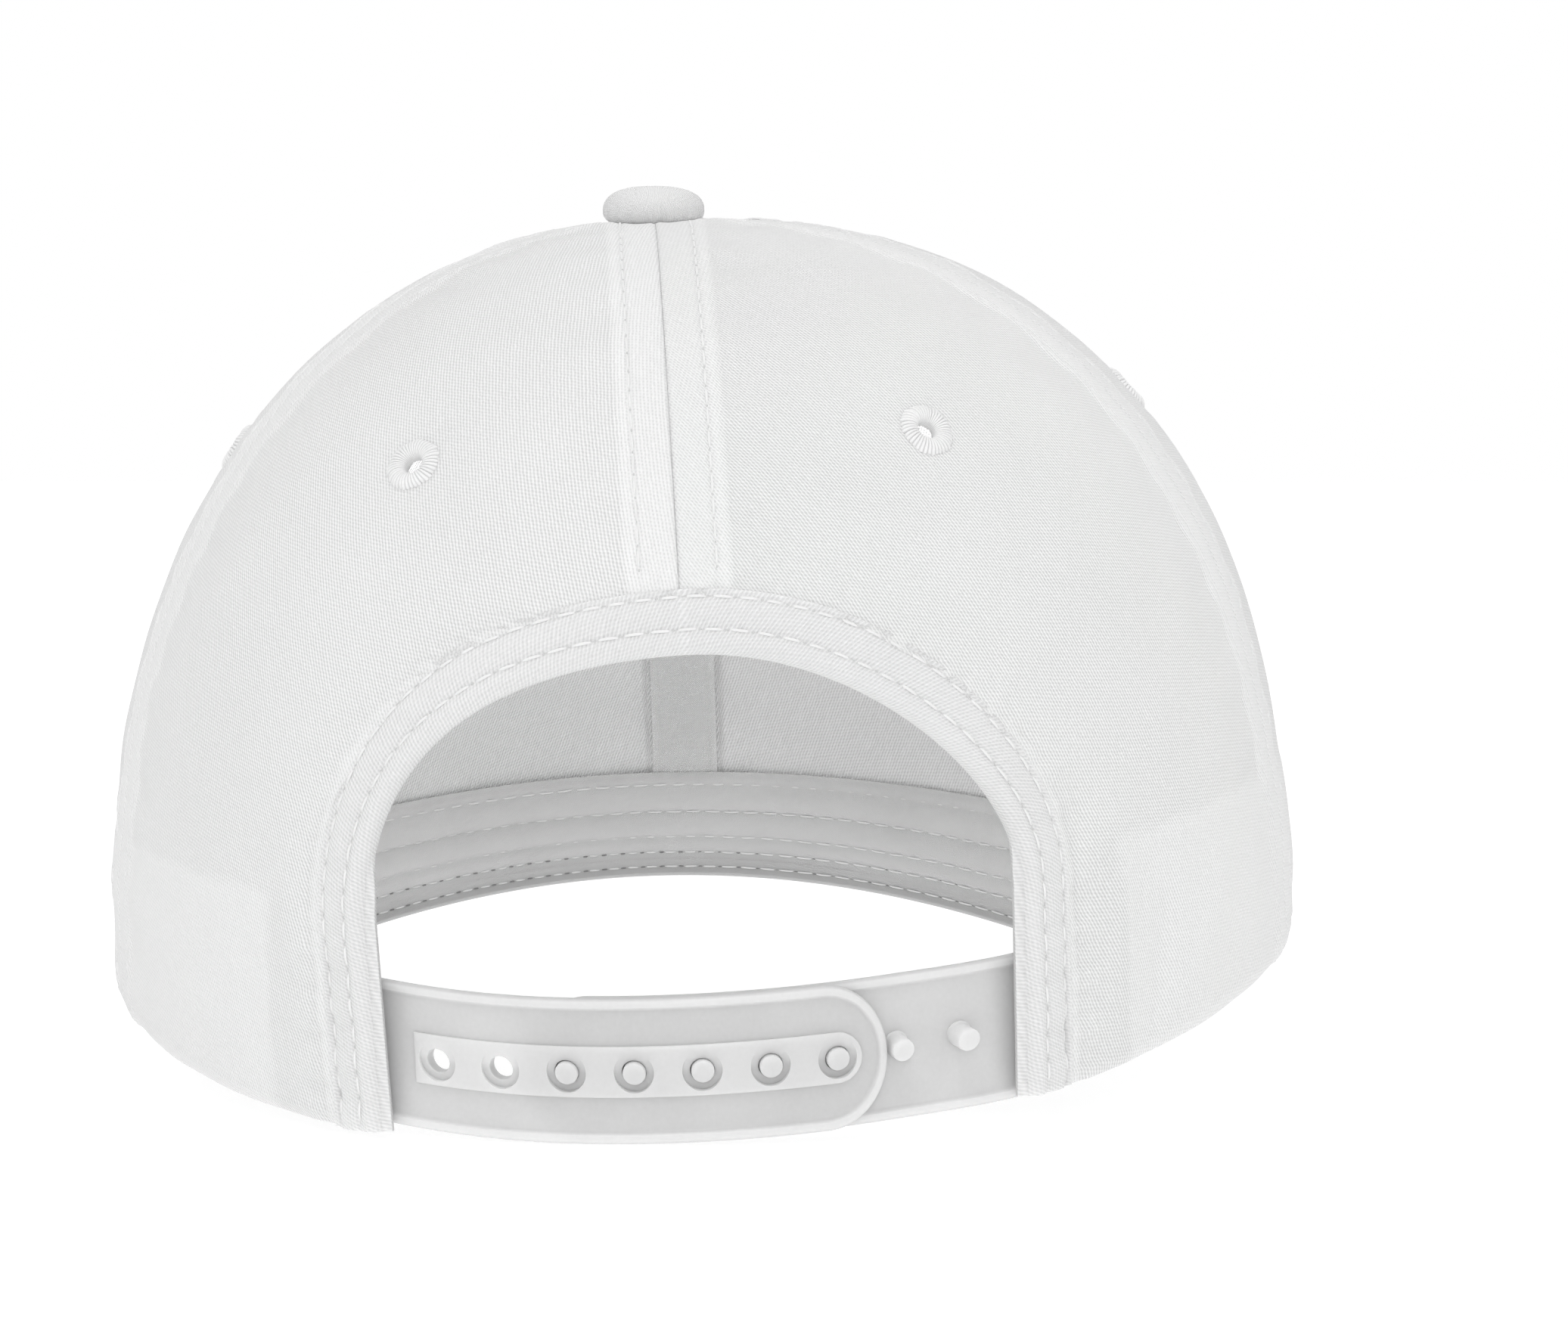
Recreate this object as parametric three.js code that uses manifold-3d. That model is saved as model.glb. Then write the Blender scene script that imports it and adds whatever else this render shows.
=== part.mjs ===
// Six panel cloth cap with a curved peak, an arched back opening and a snap strap.
// Millimetres and degrees. The peak points to -Y, the opening to +Y, the wearer's left is +X.
// Azimuth 0 is the middle of the back, 90 the left side, 180 the middle of the front.

import * as THREE from 'three';
import * as BufferGeometryUtils from 'three/addons/utils/BufferGeometryUtils.js';
import Module from 'manifold-3d';

const wasm = await Module();
wasm.setup();

// Crown
const crownHalfWidth = 90.5;
const crownHalfLength = 96.5;
const crownHeight = 128;
const sideFullness = 2.3;
const frontFullness = 2.8;
const apexSetback = 12;
const crownRoll = 3;
const crownSkew = 1.6;
const topShift = 3.7;
const rimShift = 2.6;
const shiftFrom = 35;
const sideRimHeight = 16;
const clothWall = 1.2;
const clothGap = 0.3;
const layerGap = 0.5;
const panelCount = 6;

// Seams, from the apex to the rim
const sideSeams = [
  { name: 'rear', atApex: 60, atRim: 74 },
  { name: 'fore', atApex: 120, atRim: 122 },
];
const tapeHalfWidth = 6;
const tapeThickness = 0.7;
const tapeStart = 9;
const tapeRoom = 0.27;

// Back opening and its facing
const openingHalfWidth = 45.4;
const openingStraight = 29.8;
const openingArch = 35.8;
const openingFlare = 0.8;
const openingSkew = 2.9;
const hemWidth = 7.5;
const hemThickness = 0.8;

// Sweatband
const bandHeightBack = 32;
const bandHeightFront = 15;
const bandThickness = 1;
const bandEnd = 42;
const bandDropTurn = 8;

// Peak
const peakHalfWidth = 84;
const peakReach = 70;
const peakSquareness = 2.4;
const peakShoulder = 18;
const peakFrontShare = 0.86;
const peakCurveRadius = 200;
const peakSlope = 2.5;
const peakThickness = 3;
const peakEnd = 118;

// Snap strap
const strapHeight = 20;
const strapThickness = 1.8;
const strapDip = 2;
const strapLeftRise = 1.5;
const crownLean = 0.5;
const strapTuck = 12;
const tipLead = 7.4;
const pegTipLead = 6;
const stripHeight = 7;
const stripRelief = 0.6;
const holeCount = 7;
const holePitch = 9.28;
const firstHole = 37.4;
const holeRadius = 1.9;
const pegRadius = 1.55;
const pegLength = 2.9;
const emptyHoles = 2;

// Top button and eyelets
const buttonRadius = 7.6;
const buttonHeight = 5.1;
const shankRadius = 1.5;
const shankClearance = 0.5;
const eyeletRadius = 4.2;
const eyeletBore = 1.4;
const eyeletBarrel = 2.6;
const eyeletRelief = 0.8;
const eyeletLevel = 0.507;
const eyeletAzimuths = [
  { name: 'back', azimuth: 32 },
  { name: 'side', azimuth: 90 },
  { name: 'front', azimuth: 147 },
];

const cloth = { color: 0xf1f1ef, roughness: 0.92, metalness: 0 };
const lining = { color: 0xdededc, roughness: 0.95, metalness: 0 };
const thread = { color: 0xf4f4f2, roughness: 0.6, metalness: 0 };
const plastic = { color: 0xd9dadb, roughness: 0.38, metalness: 0 };

const rad = THREE.MathUtils.degToRad;
const lerp = THREE.MathUtils.lerp;

function smooth(value, from, to) {
  return THREE.MathUtils.smoothstep(value, from, to);
}

// Peak: a board bent about one long axis, lowest at its side edges
function peakDrop(x, y) {
  return (x * x) / (2 * peakCurveRadius) + Math.tan(rad(peakSlope)) * (-y - crownHalfLength);
}

function superellipse(angle, halfX, halfY, power) {
  const c = Math.abs(Math.cos(rad(angle))) ** (2 / power);
  const s = Math.sin(rad(angle));
  return { x: halfX * Math.sign(s) * Math.abs(s) ** (2 / power), y: halfY * c };
}

// The outline runs from the right end over the front to the left end, share -1 to 1:
// a rounded front, then a straight run in to each end of the peak
function peakOutline(share) {
  const middle = -crownHalfLength + peakShoulder;
  const turn = 90 * Math.min(1, Math.abs(share) / peakFrontShare) * Math.sign(share);
  const point = superellipse(turn, peakHalfWidth, peakReach + peakShoulder, peakSquareness);
  const corner = rimPlan(peakEnd, 0);
  const run = Math.max(0, (Math.abs(share) - peakFrontShare) / (1 - peakFrontShare));
  return {
    x: lerp(point.x, Math.sign(share) * (corner.x + clothGap), run),
    y: lerp(middle - point.y, corner.y, run),
  };
}

function rimPlan(azimuth, inset) {
  return {
    x: (crownHalfWidth - inset) * Math.sin(rad(azimuth)),
    y: (crownHalfLength - inset) * Math.cos(rad(azimuth)),
  };
}

const outlineSteps = 24;
const outlineShares = Array.from({ length: outlineSteps + 1 }, (_, i) => (2 * i) / outlineSteps - 1);
const peakRise = Math.max(
  ...outlineShares.map((share) => {
    const point = peakOutline(share);
    return peakDrop(point.x, point.y);
  }),
);

function peakBottom(x, y) {
  return peakRise - peakDrop(x, y);
}

// Strap: hangs lowest near the middle and just touches what the cap stands on
function strapSag(x) {
  const share = x / openingHalfWidth;
  return strapDip * share ** 2 + strapLeftRise * Math.max(0, share) ** 3;
}

const sagSteps = 60;
const sagShares = Array.from({ length: sagSteps + 1 }, (_, i) => i / sagSteps);
const strapLift = Math.max(
  ...sagShares.map((share) => {
    const x = share * openingHalfWidth;
    return Math.tan(rad(crownRoll)) * x - strapSag(x);
  }),
);
const backRimHeight = strapLift + strapDip - clothGap;

// Rim: low at the back, arched over the ears, carried by the peak in front
const rearOfArch = 20;
const topOfArch = 92;

function wrap(azimuth) {
  return Math.abs(azimuth > 180 ? azimuth - 360 : azimuth);
}

function frontShare(azimuth) {
  return smooth(wrap(azimuth), topOfArch, peakEnd);
}

function rimHeight(azimuth) {
  const side = lerp(backRimHeight, sideRimHeight, smooth(wrap(azimuth), rearOfArch, topOfArch));
  const inner = rimPlan(azimuth, clothWall);
  const front = peakBottom(inner.x, inner.y) + peakThickness + layerGap;
  return lerp(side, front, frontShare(azimuth));
}

// Crown surface: down is 0 at the apex, 1 at the rim, past 1 on the straight wall below it
const wallPerUnit = 0.5;

function fullness(azimuth) {
  const c = Math.cos(rad(azimuth));
  return c < 0 ? lerp(sideFullness, frontFullness, c * c) : sideFullness;
}

function riseAt(azimuth, down) {
  if (down > 1) return (1 - down) * wallPerUnit;
  return Math.max(0, Math.cos((Math.PI / 2) * down)) ** (2 / fullness(azimuth));
}

function spreadAt(azimuth, down) {
  return Math.sin((Math.PI / 2) * Math.min(1, down)) ** (2 / fullness(azimuth));
}

function plainCrown(azimuth, down) {
  const rise = riseAt(azimuth, down);
  const spread = spreadAt(azimuth, down);
  const plan = rimPlan(azimuth, 0);
  const rim = rimHeight(azimuth);
  const setback = apexSetback * Math.max(0, rise);
  return new THREE.Vector3(plan.x * spread, plan.y * spread + setback, rim + (crownHeight - rim) * rise);
}

// The side walls sit a little to the right of the plane of the back and front seams,
// and the crown's right half stands a little higher than its left half
function sideOffset(azimuth, down) {
  const turn = wrap(azimuth);
  const spread = spreadAt(azimuth, down);
  const share = smooth(turn, shiftFrom, 90) * smooth(180 - turn, 0, 90) * spread * (2 - spread);
  return lerp(topShift, rimShift, Math.min(1, down)) * share;
}

// The soft crown rolls a little to the left, while the peak and the rim on it stay level
function rolled(point, share) {
  return point.applyAxisAngle(new THREE.Vector3(0, 1, 0), rad(crownRoll) * share);
}

function crown(azimuth, down) {
  const rise = Math.max(0, riseAt(azimuth, down));
  const free = 1 - frontShare(azimuth) * (1 - rise);
  const point = plainCrown(azimuth, down);
  point.x -= sideOffset(azimuth, down) * free;
  point.z -= Math.tan(rad(crownSkew)) * point.x * rise * spreadAt(azimuth, down);
  return rolled(point, free);
}

function crownNormal(azimuth, down) {
  const turn = 0.5;
  const step = 0.004;
  const along = crown(azimuth + turn, down).sub(crown(azimuth - turn, down));
  const below = crown(azimuth, down + step).sub(crown(azimuth, Math.max(1e-4, down - step)));
  return along.cross(below).normalize();
}

function crownAt([azimuth, down], inset) {
  return crown(azimuth, down).addScaledVector(crownNormal(azimuth, down), -inset);
}

function downAtHeight(azimuth, height) {
  const rim = rimHeight(azimuth);
  const rise = (height - rim) / (crownHeight - rim);
  if (rise < 0) return 1 - rise / wallPerUnit;
  return (2 / Math.PI) * Math.acos(Math.min(1, rise ** (fullness(azimuth) / 2)));
}

function downAtRadius(radius) {
  return (2 / Math.PI) * Math.asin((radius / crownHalfWidth) ** (sideFullness / 2));
}

// Azimuth where the crown, at one height, is a given distance off its middle plane
function azimuthAt(x, height) {
  let low = 0;
  let high = 85;
  for (let i = 0; i < 40; i++) {
    const middle = (low + high) / 2;
    if (plainCrown(middle, downAtHeight(middle, height)).x < x) low = middle;
    else high = middle;
  }
  return (low + high) / 2;
}

// Meshes: a sheet is a flat net of crown places, which a wall thickness turns into a solid
function meshFrom(points, faces) {
  const geometry = new THREE.BufferGeometry();
  const flat = points.flatMap((p) => [p.x, p.y, p.z]);
  geometry.setAttribute('position', new THREE.Float32BufferAttribute(flat, 3));
  let volume = 0;
  for (const [a, b, c] of faces) volume += points[a].dot(points[b].clone().cross(points[c]));
  geometry.setIndex(faces.flatMap(([a, b, c]) => (volume > 0 ? [a, b, c] : [a, c, b])));
  return geometry;
}

function netFaces(rows, columns, first = 0) {
  const faces = [];
  for (let i = 0; i < rows - 1; i++) {
    for (let j = 0; j < columns - 1; j++) {
      const a = first + i * columns + j;
      faces.push([a, a + 1, a + columns], [a + 1, a + columns + 1, a + columns]);
    }
  }
  return faces;
}

function closeSheets(outer, inner, faces) {
  const size = outer.length;
  const walls = new Map();
  for (const face of faces) {
    for (let k = 0; k < 3; k++) {
      const from = face[k];
      const to = face[(k + 1) % 3];
      if (walls.has(`${to},${from}`)) walls.delete(`${to},${from}`);
      else walls.set(`${from},${to}`, [from, to]);
    }
  }
  const all = faces.map((face) => [...face]);
  for (const [a, b, c] of faces) all.push([a + size, c + size, b + size]);
  for (const [from, to] of walls.values()) {
    all.push([to, from, from + size], [to, from + size, to + size]);
  }
  return meshFrom([...outer, ...inner], all);
}

function clothBetween(places, faces, outerInset, innerInset) {
  const outer = places.map((place) => crownAt(place, outerInset));
  const inner = places.map((place) => crownAt(place, innerInset));
  return closeSheets(outer, inner, faces);
}

function toManifold(geometry) {
  const bare = geometry.clone();
  bare.deleteAttribute('normal');
  bare.deleteAttribute('uv');
  const merged = BufferGeometryUtils.mergeVertices(bare, 1e-4);
  const vertProperties = new Float32Array(merged.attributes.position.array);
  const triVerts = new Uint32Array(merged.index.array);
  return new wasm.Manifold(new wasm.Mesh({ numProp: 3, vertProperties, triVerts }));
}

function fromManifold(solid) {
  const mesh = solid.getMesh();
  const geometry = new THREE.BufferGeometry();
  geometry.setAttribute('position', new THREE.Float32BufferAttribute(mesh.vertProperties, 3));
  geometry.setIndex(Array.from(mesh.triVerts));
  return geometry;
}

// A rod along a direction, for holes and pegs
function rod(middle, direction, radius, length, sides = 12) {
  const geometry = new THREE.CylinderGeometry(radius, radius, length, sides);
  const turn = new THREE.Quaternion().setFromUnitVectors(new THREE.Vector3(0, 1, 0), direction);
  geometry.applyQuaternion(turn);
  geometry.translate(middle.x, middle.y, middle.z);
  return toManifold(geometry);
}

// Seams
function seamAzimuth(seam, down) {
  const bow = 1 - (1 - Math.min(1, down)) ** 2;
  return lerp(seam.atApex, seam.atRim, bow);
}

const backSeam = { name: 'back', atApex: 0, atRim: 0 };
const frontSeam = { name: 'front', atApex: 180, atRim: 180 };
const [rearSeam, foreSeam] = sideSeams;

const apexHole = downAtRadius(shankRadius + shankClearance);
const panelRows = 14;
const panelDowns = Array.from({ length: panelRows + 1 }, (_, i) => lerp(apexHole, 1, i / panelRows));

function mmPerDegree(azimuth, down) {
  return crown(azimuth + 0.5, down).distanceTo(crown(azimuth - 0.5, down));
}

// One row of a panel: half a seam gap at each end, and a column over each tape edge
const middleColumns = 6;

function rowPlaces(from, to, down, downTo) {
  const gapFrom = clothGap / 2 / mmPerDegree(from, down);
  const gapTo = clothGap / 2 / mmPerDegree(to, downTo);
  const start = from + gapFrom;
  const end = to - gapTo;
  const width = (end - start) * mmPerDegree((start + end) / 2, (down + downTo) / 2);
  const share = Math.min(0.3, tapeHalfWidth / width);
  const shares = [0];
  for (let i = 0; i <= middleColumns; i++) shares.push(lerp(share, 1 - share, i / middleColumns));
  shares.push(1);
  return shares.map((s) => [lerp(start, end, s), lerp(down, downTo, s)]);
}

const panelColumns = middleColumns + 3;

function plainPanel(from, to) {
  const places = panelDowns.flatMap((down) =>
    rowPlaces(seamAzimuth(from, down), seamAzimuth(to, down), down, down),
  );
  return { places, faces: netFaces(panelDowns.length, panelColumns) };
}

// Edge of the back opening, share 0 at its top and 1 at its lower corner, out past the edge
const archShare = 0.62;

function openingPlace(share, out, side) {
  const turn = rad(90 * Math.max(0, 1 - share / archShare));
  const fall = Math.max(0, share - archShare) / (1 - archShare);
  const springing = backRimHeight + openingStraight;
  const halfWidth = openingHalfWidth + openingFlare * (1 - fall);
  const x = Math.max(clothGap / 2, (halfWidth + out) * Math.cos(turn));
  const skew = side * openingSkew * Math.sin(2 * turn) * Math.cos(turn);
  let height = springing + (openingArch + out) * Math.sin(turn) + skew;
  if (fall > 0) height = lerp(springing, rimHeight(azimuthAt(x, backRimHeight + 1)), fall);
  const azimuth = azimuthAt(x, height);
  return [azimuth, share < 1 ? downAtHeight(azimuth, height) : 1];
}

const openingRows = 10;
const openingShares = Array.from({ length: openingRows + 1 }, (_, i) => i / openingRows);

// A back panel: rows down to the opening's hem, then rows that fan out round it, then the hem strip
function backPanel(side) {
  const hemTop = openingPlace(0, hemWidth, side);
  const seamRows = 8;
  const fanStart = 0.55;
  const outerAt = (share) => lerp(apexHole, 1, share);
  const places = [];
  for (let i = 0; i < seamRows; i++) {
    const down = lerp(apexHole, hemTop[1], i / seamRows);
    const outer = outerAt((fanStart * i) / seamRows);
    places.push(...rowPlaces(0, seamAzimuth(rearSeam, outer), down, outer));
  }
  const hemEdge = [];
  for (const share of openingShares) {
    const outer = outerAt(lerp(fanStart, 1, share));
    const [azimuth, down] = openingPlace(share, hemWidth, side);
    const row = rowPlaces(azimuth, seamAzimuth(rearSeam, outer), down, outer);
    row[0] = [azimuth, down];
    hemEdge.push(places.length);
    places.push(...row);
  }
  const faces = netFaces(seamRows + openingShares.length, panelColumns);
  const edge = openingShares.map((share) => places.push(openingPlace(share, 0, side)) - 1);
  for (let i = 0; i < openingRows; i++) {
    faces.push([edge[i], hemEdge[i], edge[i + 1]], [hemEdge[i], hemEdge[i + 1], edge[i + 1]]);
  }
  return { places, faces };
}

function mirrored({ places, faces }) {
  return { places: places.map(([azimuth, down]) => [-azimuth, down]), faces };
}

// Eyelets
function eyeletSeat(azimuth) {
  return { point: crown(azimuth, eyeletLevel), normal: crownNormal(azimuth, eyeletLevel) };
}

function eyeletGeometry() {
  const inside = -clothWall - layerGap - eyeletRelief / 2;
  const top = clothGap + eyeletRelief;
  const profile = [
    [eyeletBore, inside],
    [eyeletBarrel, inside],
    [eyeletBarrel, clothGap],
    [eyeletRadius, clothGap],
    [eyeletRadius - eyeletRelief / 3, top - eyeletRelief / 3],
    [(eyeletRadius + eyeletBore) / 2, top],
    [eyeletBore + eyeletRelief / 3, top - eyeletRelief / 4],
    [eyeletBore, top - eyeletRelief],
    [eyeletBore, inside],
  ];
  const geometry = new THREE.LatheGeometry(profile.map(([r, h]) => new THREE.Vector2(r, h)), 12);
  return geometry.rotateX(Math.PI / 2);
}

function panelSolid(sheet, azimuth) {
  const panel = toManifold(clothBetween(sheet.places, sheet.faces, 0, clothWall));
  const seat = eyeletSeat(azimuth);
  const hole = rod(seat.point, seat.normal, eyeletBarrel + clothGap, 6 * clothWall);
  return fromManifold(panel.subtract(hole));
}

// Facing of the opening: one strip up one side, over the top and down the other
function hemFacing() {
  const edgeStep = layerGap;
  const left = [...openingShares].reverse().map((share) => [share, 1]);
  const right = openingShares.map((share) => [share, -1]);
  const places = [...left, ...right].flatMap(([share, side]) =>
    [edgeStep, hemWidth].map((out) => {
      const [azimuth, down] = openingPlace(share, out, side);
      return [side * azimuth, down];
    }),
  );
  const faces = netFaces(left.length + right.length, 2);
  const outer = clothWall + layerGap;
  return clothBetween(places, faces, outer, outer + hemThickness);
}

// Sweatband: a ring inside the rim, open at the back, that also covers the peak's inner edge
function bandTop(azimuth) {
  const height = lerp(bandHeightBack, bandHeightFront, smooth(wrap(azimuth), rearOfArch, 180));
  return rimHeight(azimuth) + height;
}

function bandBottom(azimuth) {
  const covered = smooth(wrap(azimuth), peakEnd - bandDropTurn, peakEnd);
  return rimHeight(azimuth) - (peakThickness + layerGap) * covered;
}

function sweatband() {
  const steps = 40;
  const levels = [0, 0.5, 1];
  const places = [];
  for (let i = 0; i <= steps; i++) {
    const azimuth = lerp(bandEnd, 360 - bandEnd, i / steps);
    for (const level of levels) {
      const height = lerp(bandBottom(azimuth), bandTop(azimuth), level);
      places.push([azimuth, downAtHeight(azimuth, height)]);
    }
  }
  const outer = clothWall + layerGap;
  return clothBetween(places, netFaces(steps + 1, levels.length), outer, outer + bandThickness);
}

// A seam tape follows its seam on the inside, from near the apex to the band or the hem
function seamTape(seam, side, end) {
  const start = downAtRadius(tapeStart);
  const downs = [start, ...panelDowns.filter((down) => down > start + 0.02 && down < end - 0.02), end];
  const places = downs.flatMap((down) => {
    const azimuth = seamAzimuth(seam, down);
    const scale = mmPerDegree(azimuth, down);
    const room = tapeRoom * (360 / panelCount) * scale;
    const half = Math.min(tapeHalfWidth - clothGap, room) / scale;
    return [-half, 0, half].map((step) => [side * azimuth + step, down]);
  });
  const outer = clothWall + layerGap;
  return clothBetween(places, netFaces(downs.length, 3), outer, outer + tapeThickness);
}

// Peak
function peak() {
  const columns = 6;
  const outer = [];
  const inner = [];
  for (const share of outlineShares) {
    const edge = peakOutline(share);
    const root = rimPlan(180 - share * (180 - peakEnd), clothWall - clothGap);
    for (let j = 0; j < columns; j++) {
      const across = j / (columns - 1);
      const x = lerp(root.x, edge.x, across);
      const y = lerp(root.y, edge.y, across);
      const bottom = peakBottom(x, y);
      outer.push(new THREE.Vector3(x, y, bottom + peakThickness));
      inner.push(new THREE.Vector3(x, y, bottom));
    }
  }
  return closeSheets(outer, inner, netFaces(outlineShares.length, columns));
}

// Straps: along is millimetres from the middle of the back, positive to the left
const strapInset = clothWall + 2 * layerGap + hemThickness + crownLean;
const strapEnd = openingHalfWidth + strapTuck;
const lastHole = firstHole - (holeCount - 1) * holePitch;

function strapFrame(along, inset) {
  const azimuth = THREE.MathUtils.radToDeg(along / (crownHalfWidth - strapInset));
  const plan = rimPlan(azimuth, inset);
  const normal = new THREE.Vector3(plan.x / crownHalfWidth ** 2, plan.y / crownHalfLength ** 2, 0);
  normal.normalize();
  const height = strapLift + strapHeight / 2 + strapSag(plan.x);
  return { point: new THREE.Vector3(plan.x, plan.y, height), normal };
}

// A bar along the strap's curve with one round end, its outer face at an inset that may vary
function bar(from, tip, halfHeight, insetAt, thickness) {
  const direction = Math.sign(tip - from);
  const roundStart = tip - direction * halfHeight;
  const stations = [];
  const steps = Math.ceil(Math.abs(roundStart - from) / 4);
  for (let i = 0; i <= steps; i++) stations.push([lerp(from, roundStart, i / steps), halfHeight]);
  for (let turn = 16; turn <= 80; turn += 16) {
    const reach = halfHeight * Math.sin(rad(turn));
    stations.push([roundStart + direction * reach, halfHeight * Math.cos(rad(turn))]);
  }
  const outer = [];
  const inner = [];
  for (const [along, half] of stations) {
    for (const side of [-1, 1]) {
      const near = strapFrame(along, insetAt(along)).point;
      const far = strapFrame(along, insetAt(along) + thickness).point;
      outer.push(rolled(near.setZ(near.z + side * half), 1));
      inner.push(rolled(far.setZ(far.z + side * half), 1));
    }
  }
  return toManifold(closeSheets(outer, inner, netFaces(stations.length, 2)));
}

function strapRod(along, insetFrom, insetTo, radius) {
  const from = strapFrame(along, insetFrom);
  const direction = rolled(from.normal.clone(), 1);
  const length = insetFrom - insetTo;
  const middle = from.point.addScaledVector(from.normal, length / 2);
  return rod(rolled(middle, 1), direction, radius, length);
}

function holeStrap() {
  const tip = lastHole - tipLead;
  const plate = bar(strapEnd, tip, strapHeight / 2, () => strapInset, strapThickness);
  const stripInset = strapInset - stripRelief;
  const stripEnd = lastHole - stripHeight / 2;
  const stripSink = strapThickness / 2;
  const strip = bar(firstHole + stripHeight / 2, stripEnd, stripHeight / 2, () => stripInset, stripSink);
  let strap = plate.add(strip);
  for (let i = 0; i < holeCount; i++) {
    const along = firstHole - i * holePitch;
    const reach = 2 * strapThickness;
    strap = strap.subtract(strapRod(along, strapInset + reach, strapInset - reach, holeRadius));
  }
  return fromManifold(strap);
}

// The peg strap lies inside the other one and comes out level with it beyond the other's tip
function pegInset(along) {
  const tip = lastHole - tipLead;
  const under = strapInset + strapThickness + clothGap;
  return lerp(strapInset, under, smooth(along, -openingHalfWidth, tip - 1));
}

function pegStrap() {
  const firstPeg = firstHole - emptyHoles * holePitch;
  const tip = firstPeg + pegTipLead;
  let strap = bar(-strapEnd, tip, strapHeight / 2, pegInset, strapThickness);
  for (let i = 0; i < holeCount; i++) {
    const along = firstPeg - i * holePitch;
    const face = pegInset(along);
    strap = strap.add(strapRod(along, face + strapThickness / 2, face - pegLength, pegRadius));
  }
  return fromManifold(strap);
}

// Top button: a flat topped dome with a short shank through the apex
function topButton() {
  const shankDrop = clothWall + 2 * layerGap + tapeThickness;
  const flatShare = 0.32;
  const skirt = 0.35 * buttonHeight;
  const profile = [new THREE.Vector2(0, -shankDrop), new THREE.Vector2(shankRadius, -shankDrop)];
  profile.push(new THREE.Vector2(shankRadius, 0), new THREE.Vector2(0.9 * buttonRadius, 0));
  const flat = flatShare * buttonRadius;
  for (let turn = 0; turn <= 90; turn += 22.5) {
    const radius = flat + (buttonRadius - flat) * Math.cos(rad(turn));
    profile.push(new THREE.Vector2(radius, skirt + (buttonHeight - skirt) * Math.sin(rad(turn))));
  }
  profile.push(new THREE.Vector2(0, buttonHeight));
  return new THREE.LatheGeometry(profile, 20).rotateX(Math.PI / 2);
}

// Assembly
const cap = new THREE.Group();

function place(name, geometry, finish) {
  const mesh = new THREE.Mesh(geometry, new THREE.MeshStandardMaterial(finish));
  mesh.name = name;
  cap.add(mesh);
  return mesh;
}

const panelSheets = [
  { name: 'back', sheet: backPanel },
  { name: 'side', sheet: () => plainPanel(rearSeam, foreSeam) },
  { name: 'front', sheet: () => plainPanel(foreSeam, frontSeam) },
];
const sides = [
  { name: 'left', sign: 1 },
  { name: 'right', sign: -1 },
];

for (const { name: side, sign } of sides) {
  for (const [i, { name, sheet }] of panelSheets.entries()) {
    const azimuth = sign * eyeletAzimuths[i].azimuth;
    const cut = sign > 0 ? sheet(sign) : mirrored(sheet(sign));
    place(`panel_${name}_${side}`, panelSolid(cut, azimuth), cloth);
    const eyelet = place(`eyelet_${name}_${side}`, eyeletGeometry(), thread);
    const seat = eyeletSeat(azimuth);
    eyelet.position.copy(seat.point);
    eyelet.quaternion.setFromUnitVectors(new THREE.Vector3(0, 0, 1), seat.normal);
  }
}

const hemTapeEnd = openingPlace(0, hemWidth + layerGap, 1)[1];
place('tape_back', seamTape(backSeam, 1, hemTapeEnd), lining);
for (const { name: side, sign } of sides) {
  for (const seam of sideSeams) {
    const end = downAtHeight(seam.atRim, bandTop(seam.atRim) + 2 * layerGap);
    place(`tape_${seam.name}_${side}`, seamTape(seam, sign, end), lining);
  }
}
const frontTapeEnd = downAtHeight(frontSeam.atRim, bandTop(frontSeam.atRim) + layerGap);
place('tape_front', seamTape(frontSeam, 1, frontTapeEnd), lining);

place('opening_hem', hemFacing(), lining);
place('sweatband', sweatband(), lining);
place('peak', peak(), cloth);
place('strap_holes', holeStrap(), plastic);
place('strap_pegs', pegStrap(), plastic);
const button = place('top_button', topButton(), cloth);
button.position.copy(crown(0, 0)).add(new THREE.Vector3(0, 0, clothGap));

// The origin is the middle of the cap's box, on the surface that it stands on
const box = new THREE.Box3().setFromObject(cap);
const middle = box.getCenter(new THREE.Vector3());
cap.position.set(-middle.x, -middle.y, -box.min.z);
cap.updateMatrixWorld(true);

export default cap;
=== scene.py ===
import math

import bpy
import numpy as np
from mathutils import Matrix, Vector


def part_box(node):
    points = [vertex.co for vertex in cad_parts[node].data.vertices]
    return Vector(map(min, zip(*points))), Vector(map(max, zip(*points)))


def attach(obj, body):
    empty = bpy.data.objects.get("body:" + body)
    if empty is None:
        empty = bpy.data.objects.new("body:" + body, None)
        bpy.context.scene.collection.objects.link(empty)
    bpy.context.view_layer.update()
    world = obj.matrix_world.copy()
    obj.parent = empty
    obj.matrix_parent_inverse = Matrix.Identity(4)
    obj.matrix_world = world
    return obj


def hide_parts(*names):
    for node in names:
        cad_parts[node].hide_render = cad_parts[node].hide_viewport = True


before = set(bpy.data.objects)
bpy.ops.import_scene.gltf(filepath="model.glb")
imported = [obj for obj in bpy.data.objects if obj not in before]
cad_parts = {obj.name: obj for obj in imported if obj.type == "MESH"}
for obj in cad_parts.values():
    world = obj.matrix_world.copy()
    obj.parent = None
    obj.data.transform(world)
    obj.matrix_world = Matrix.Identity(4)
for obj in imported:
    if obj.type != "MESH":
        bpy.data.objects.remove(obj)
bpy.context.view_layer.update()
print("frame loaded:", len(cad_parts), "nodes")

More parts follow.
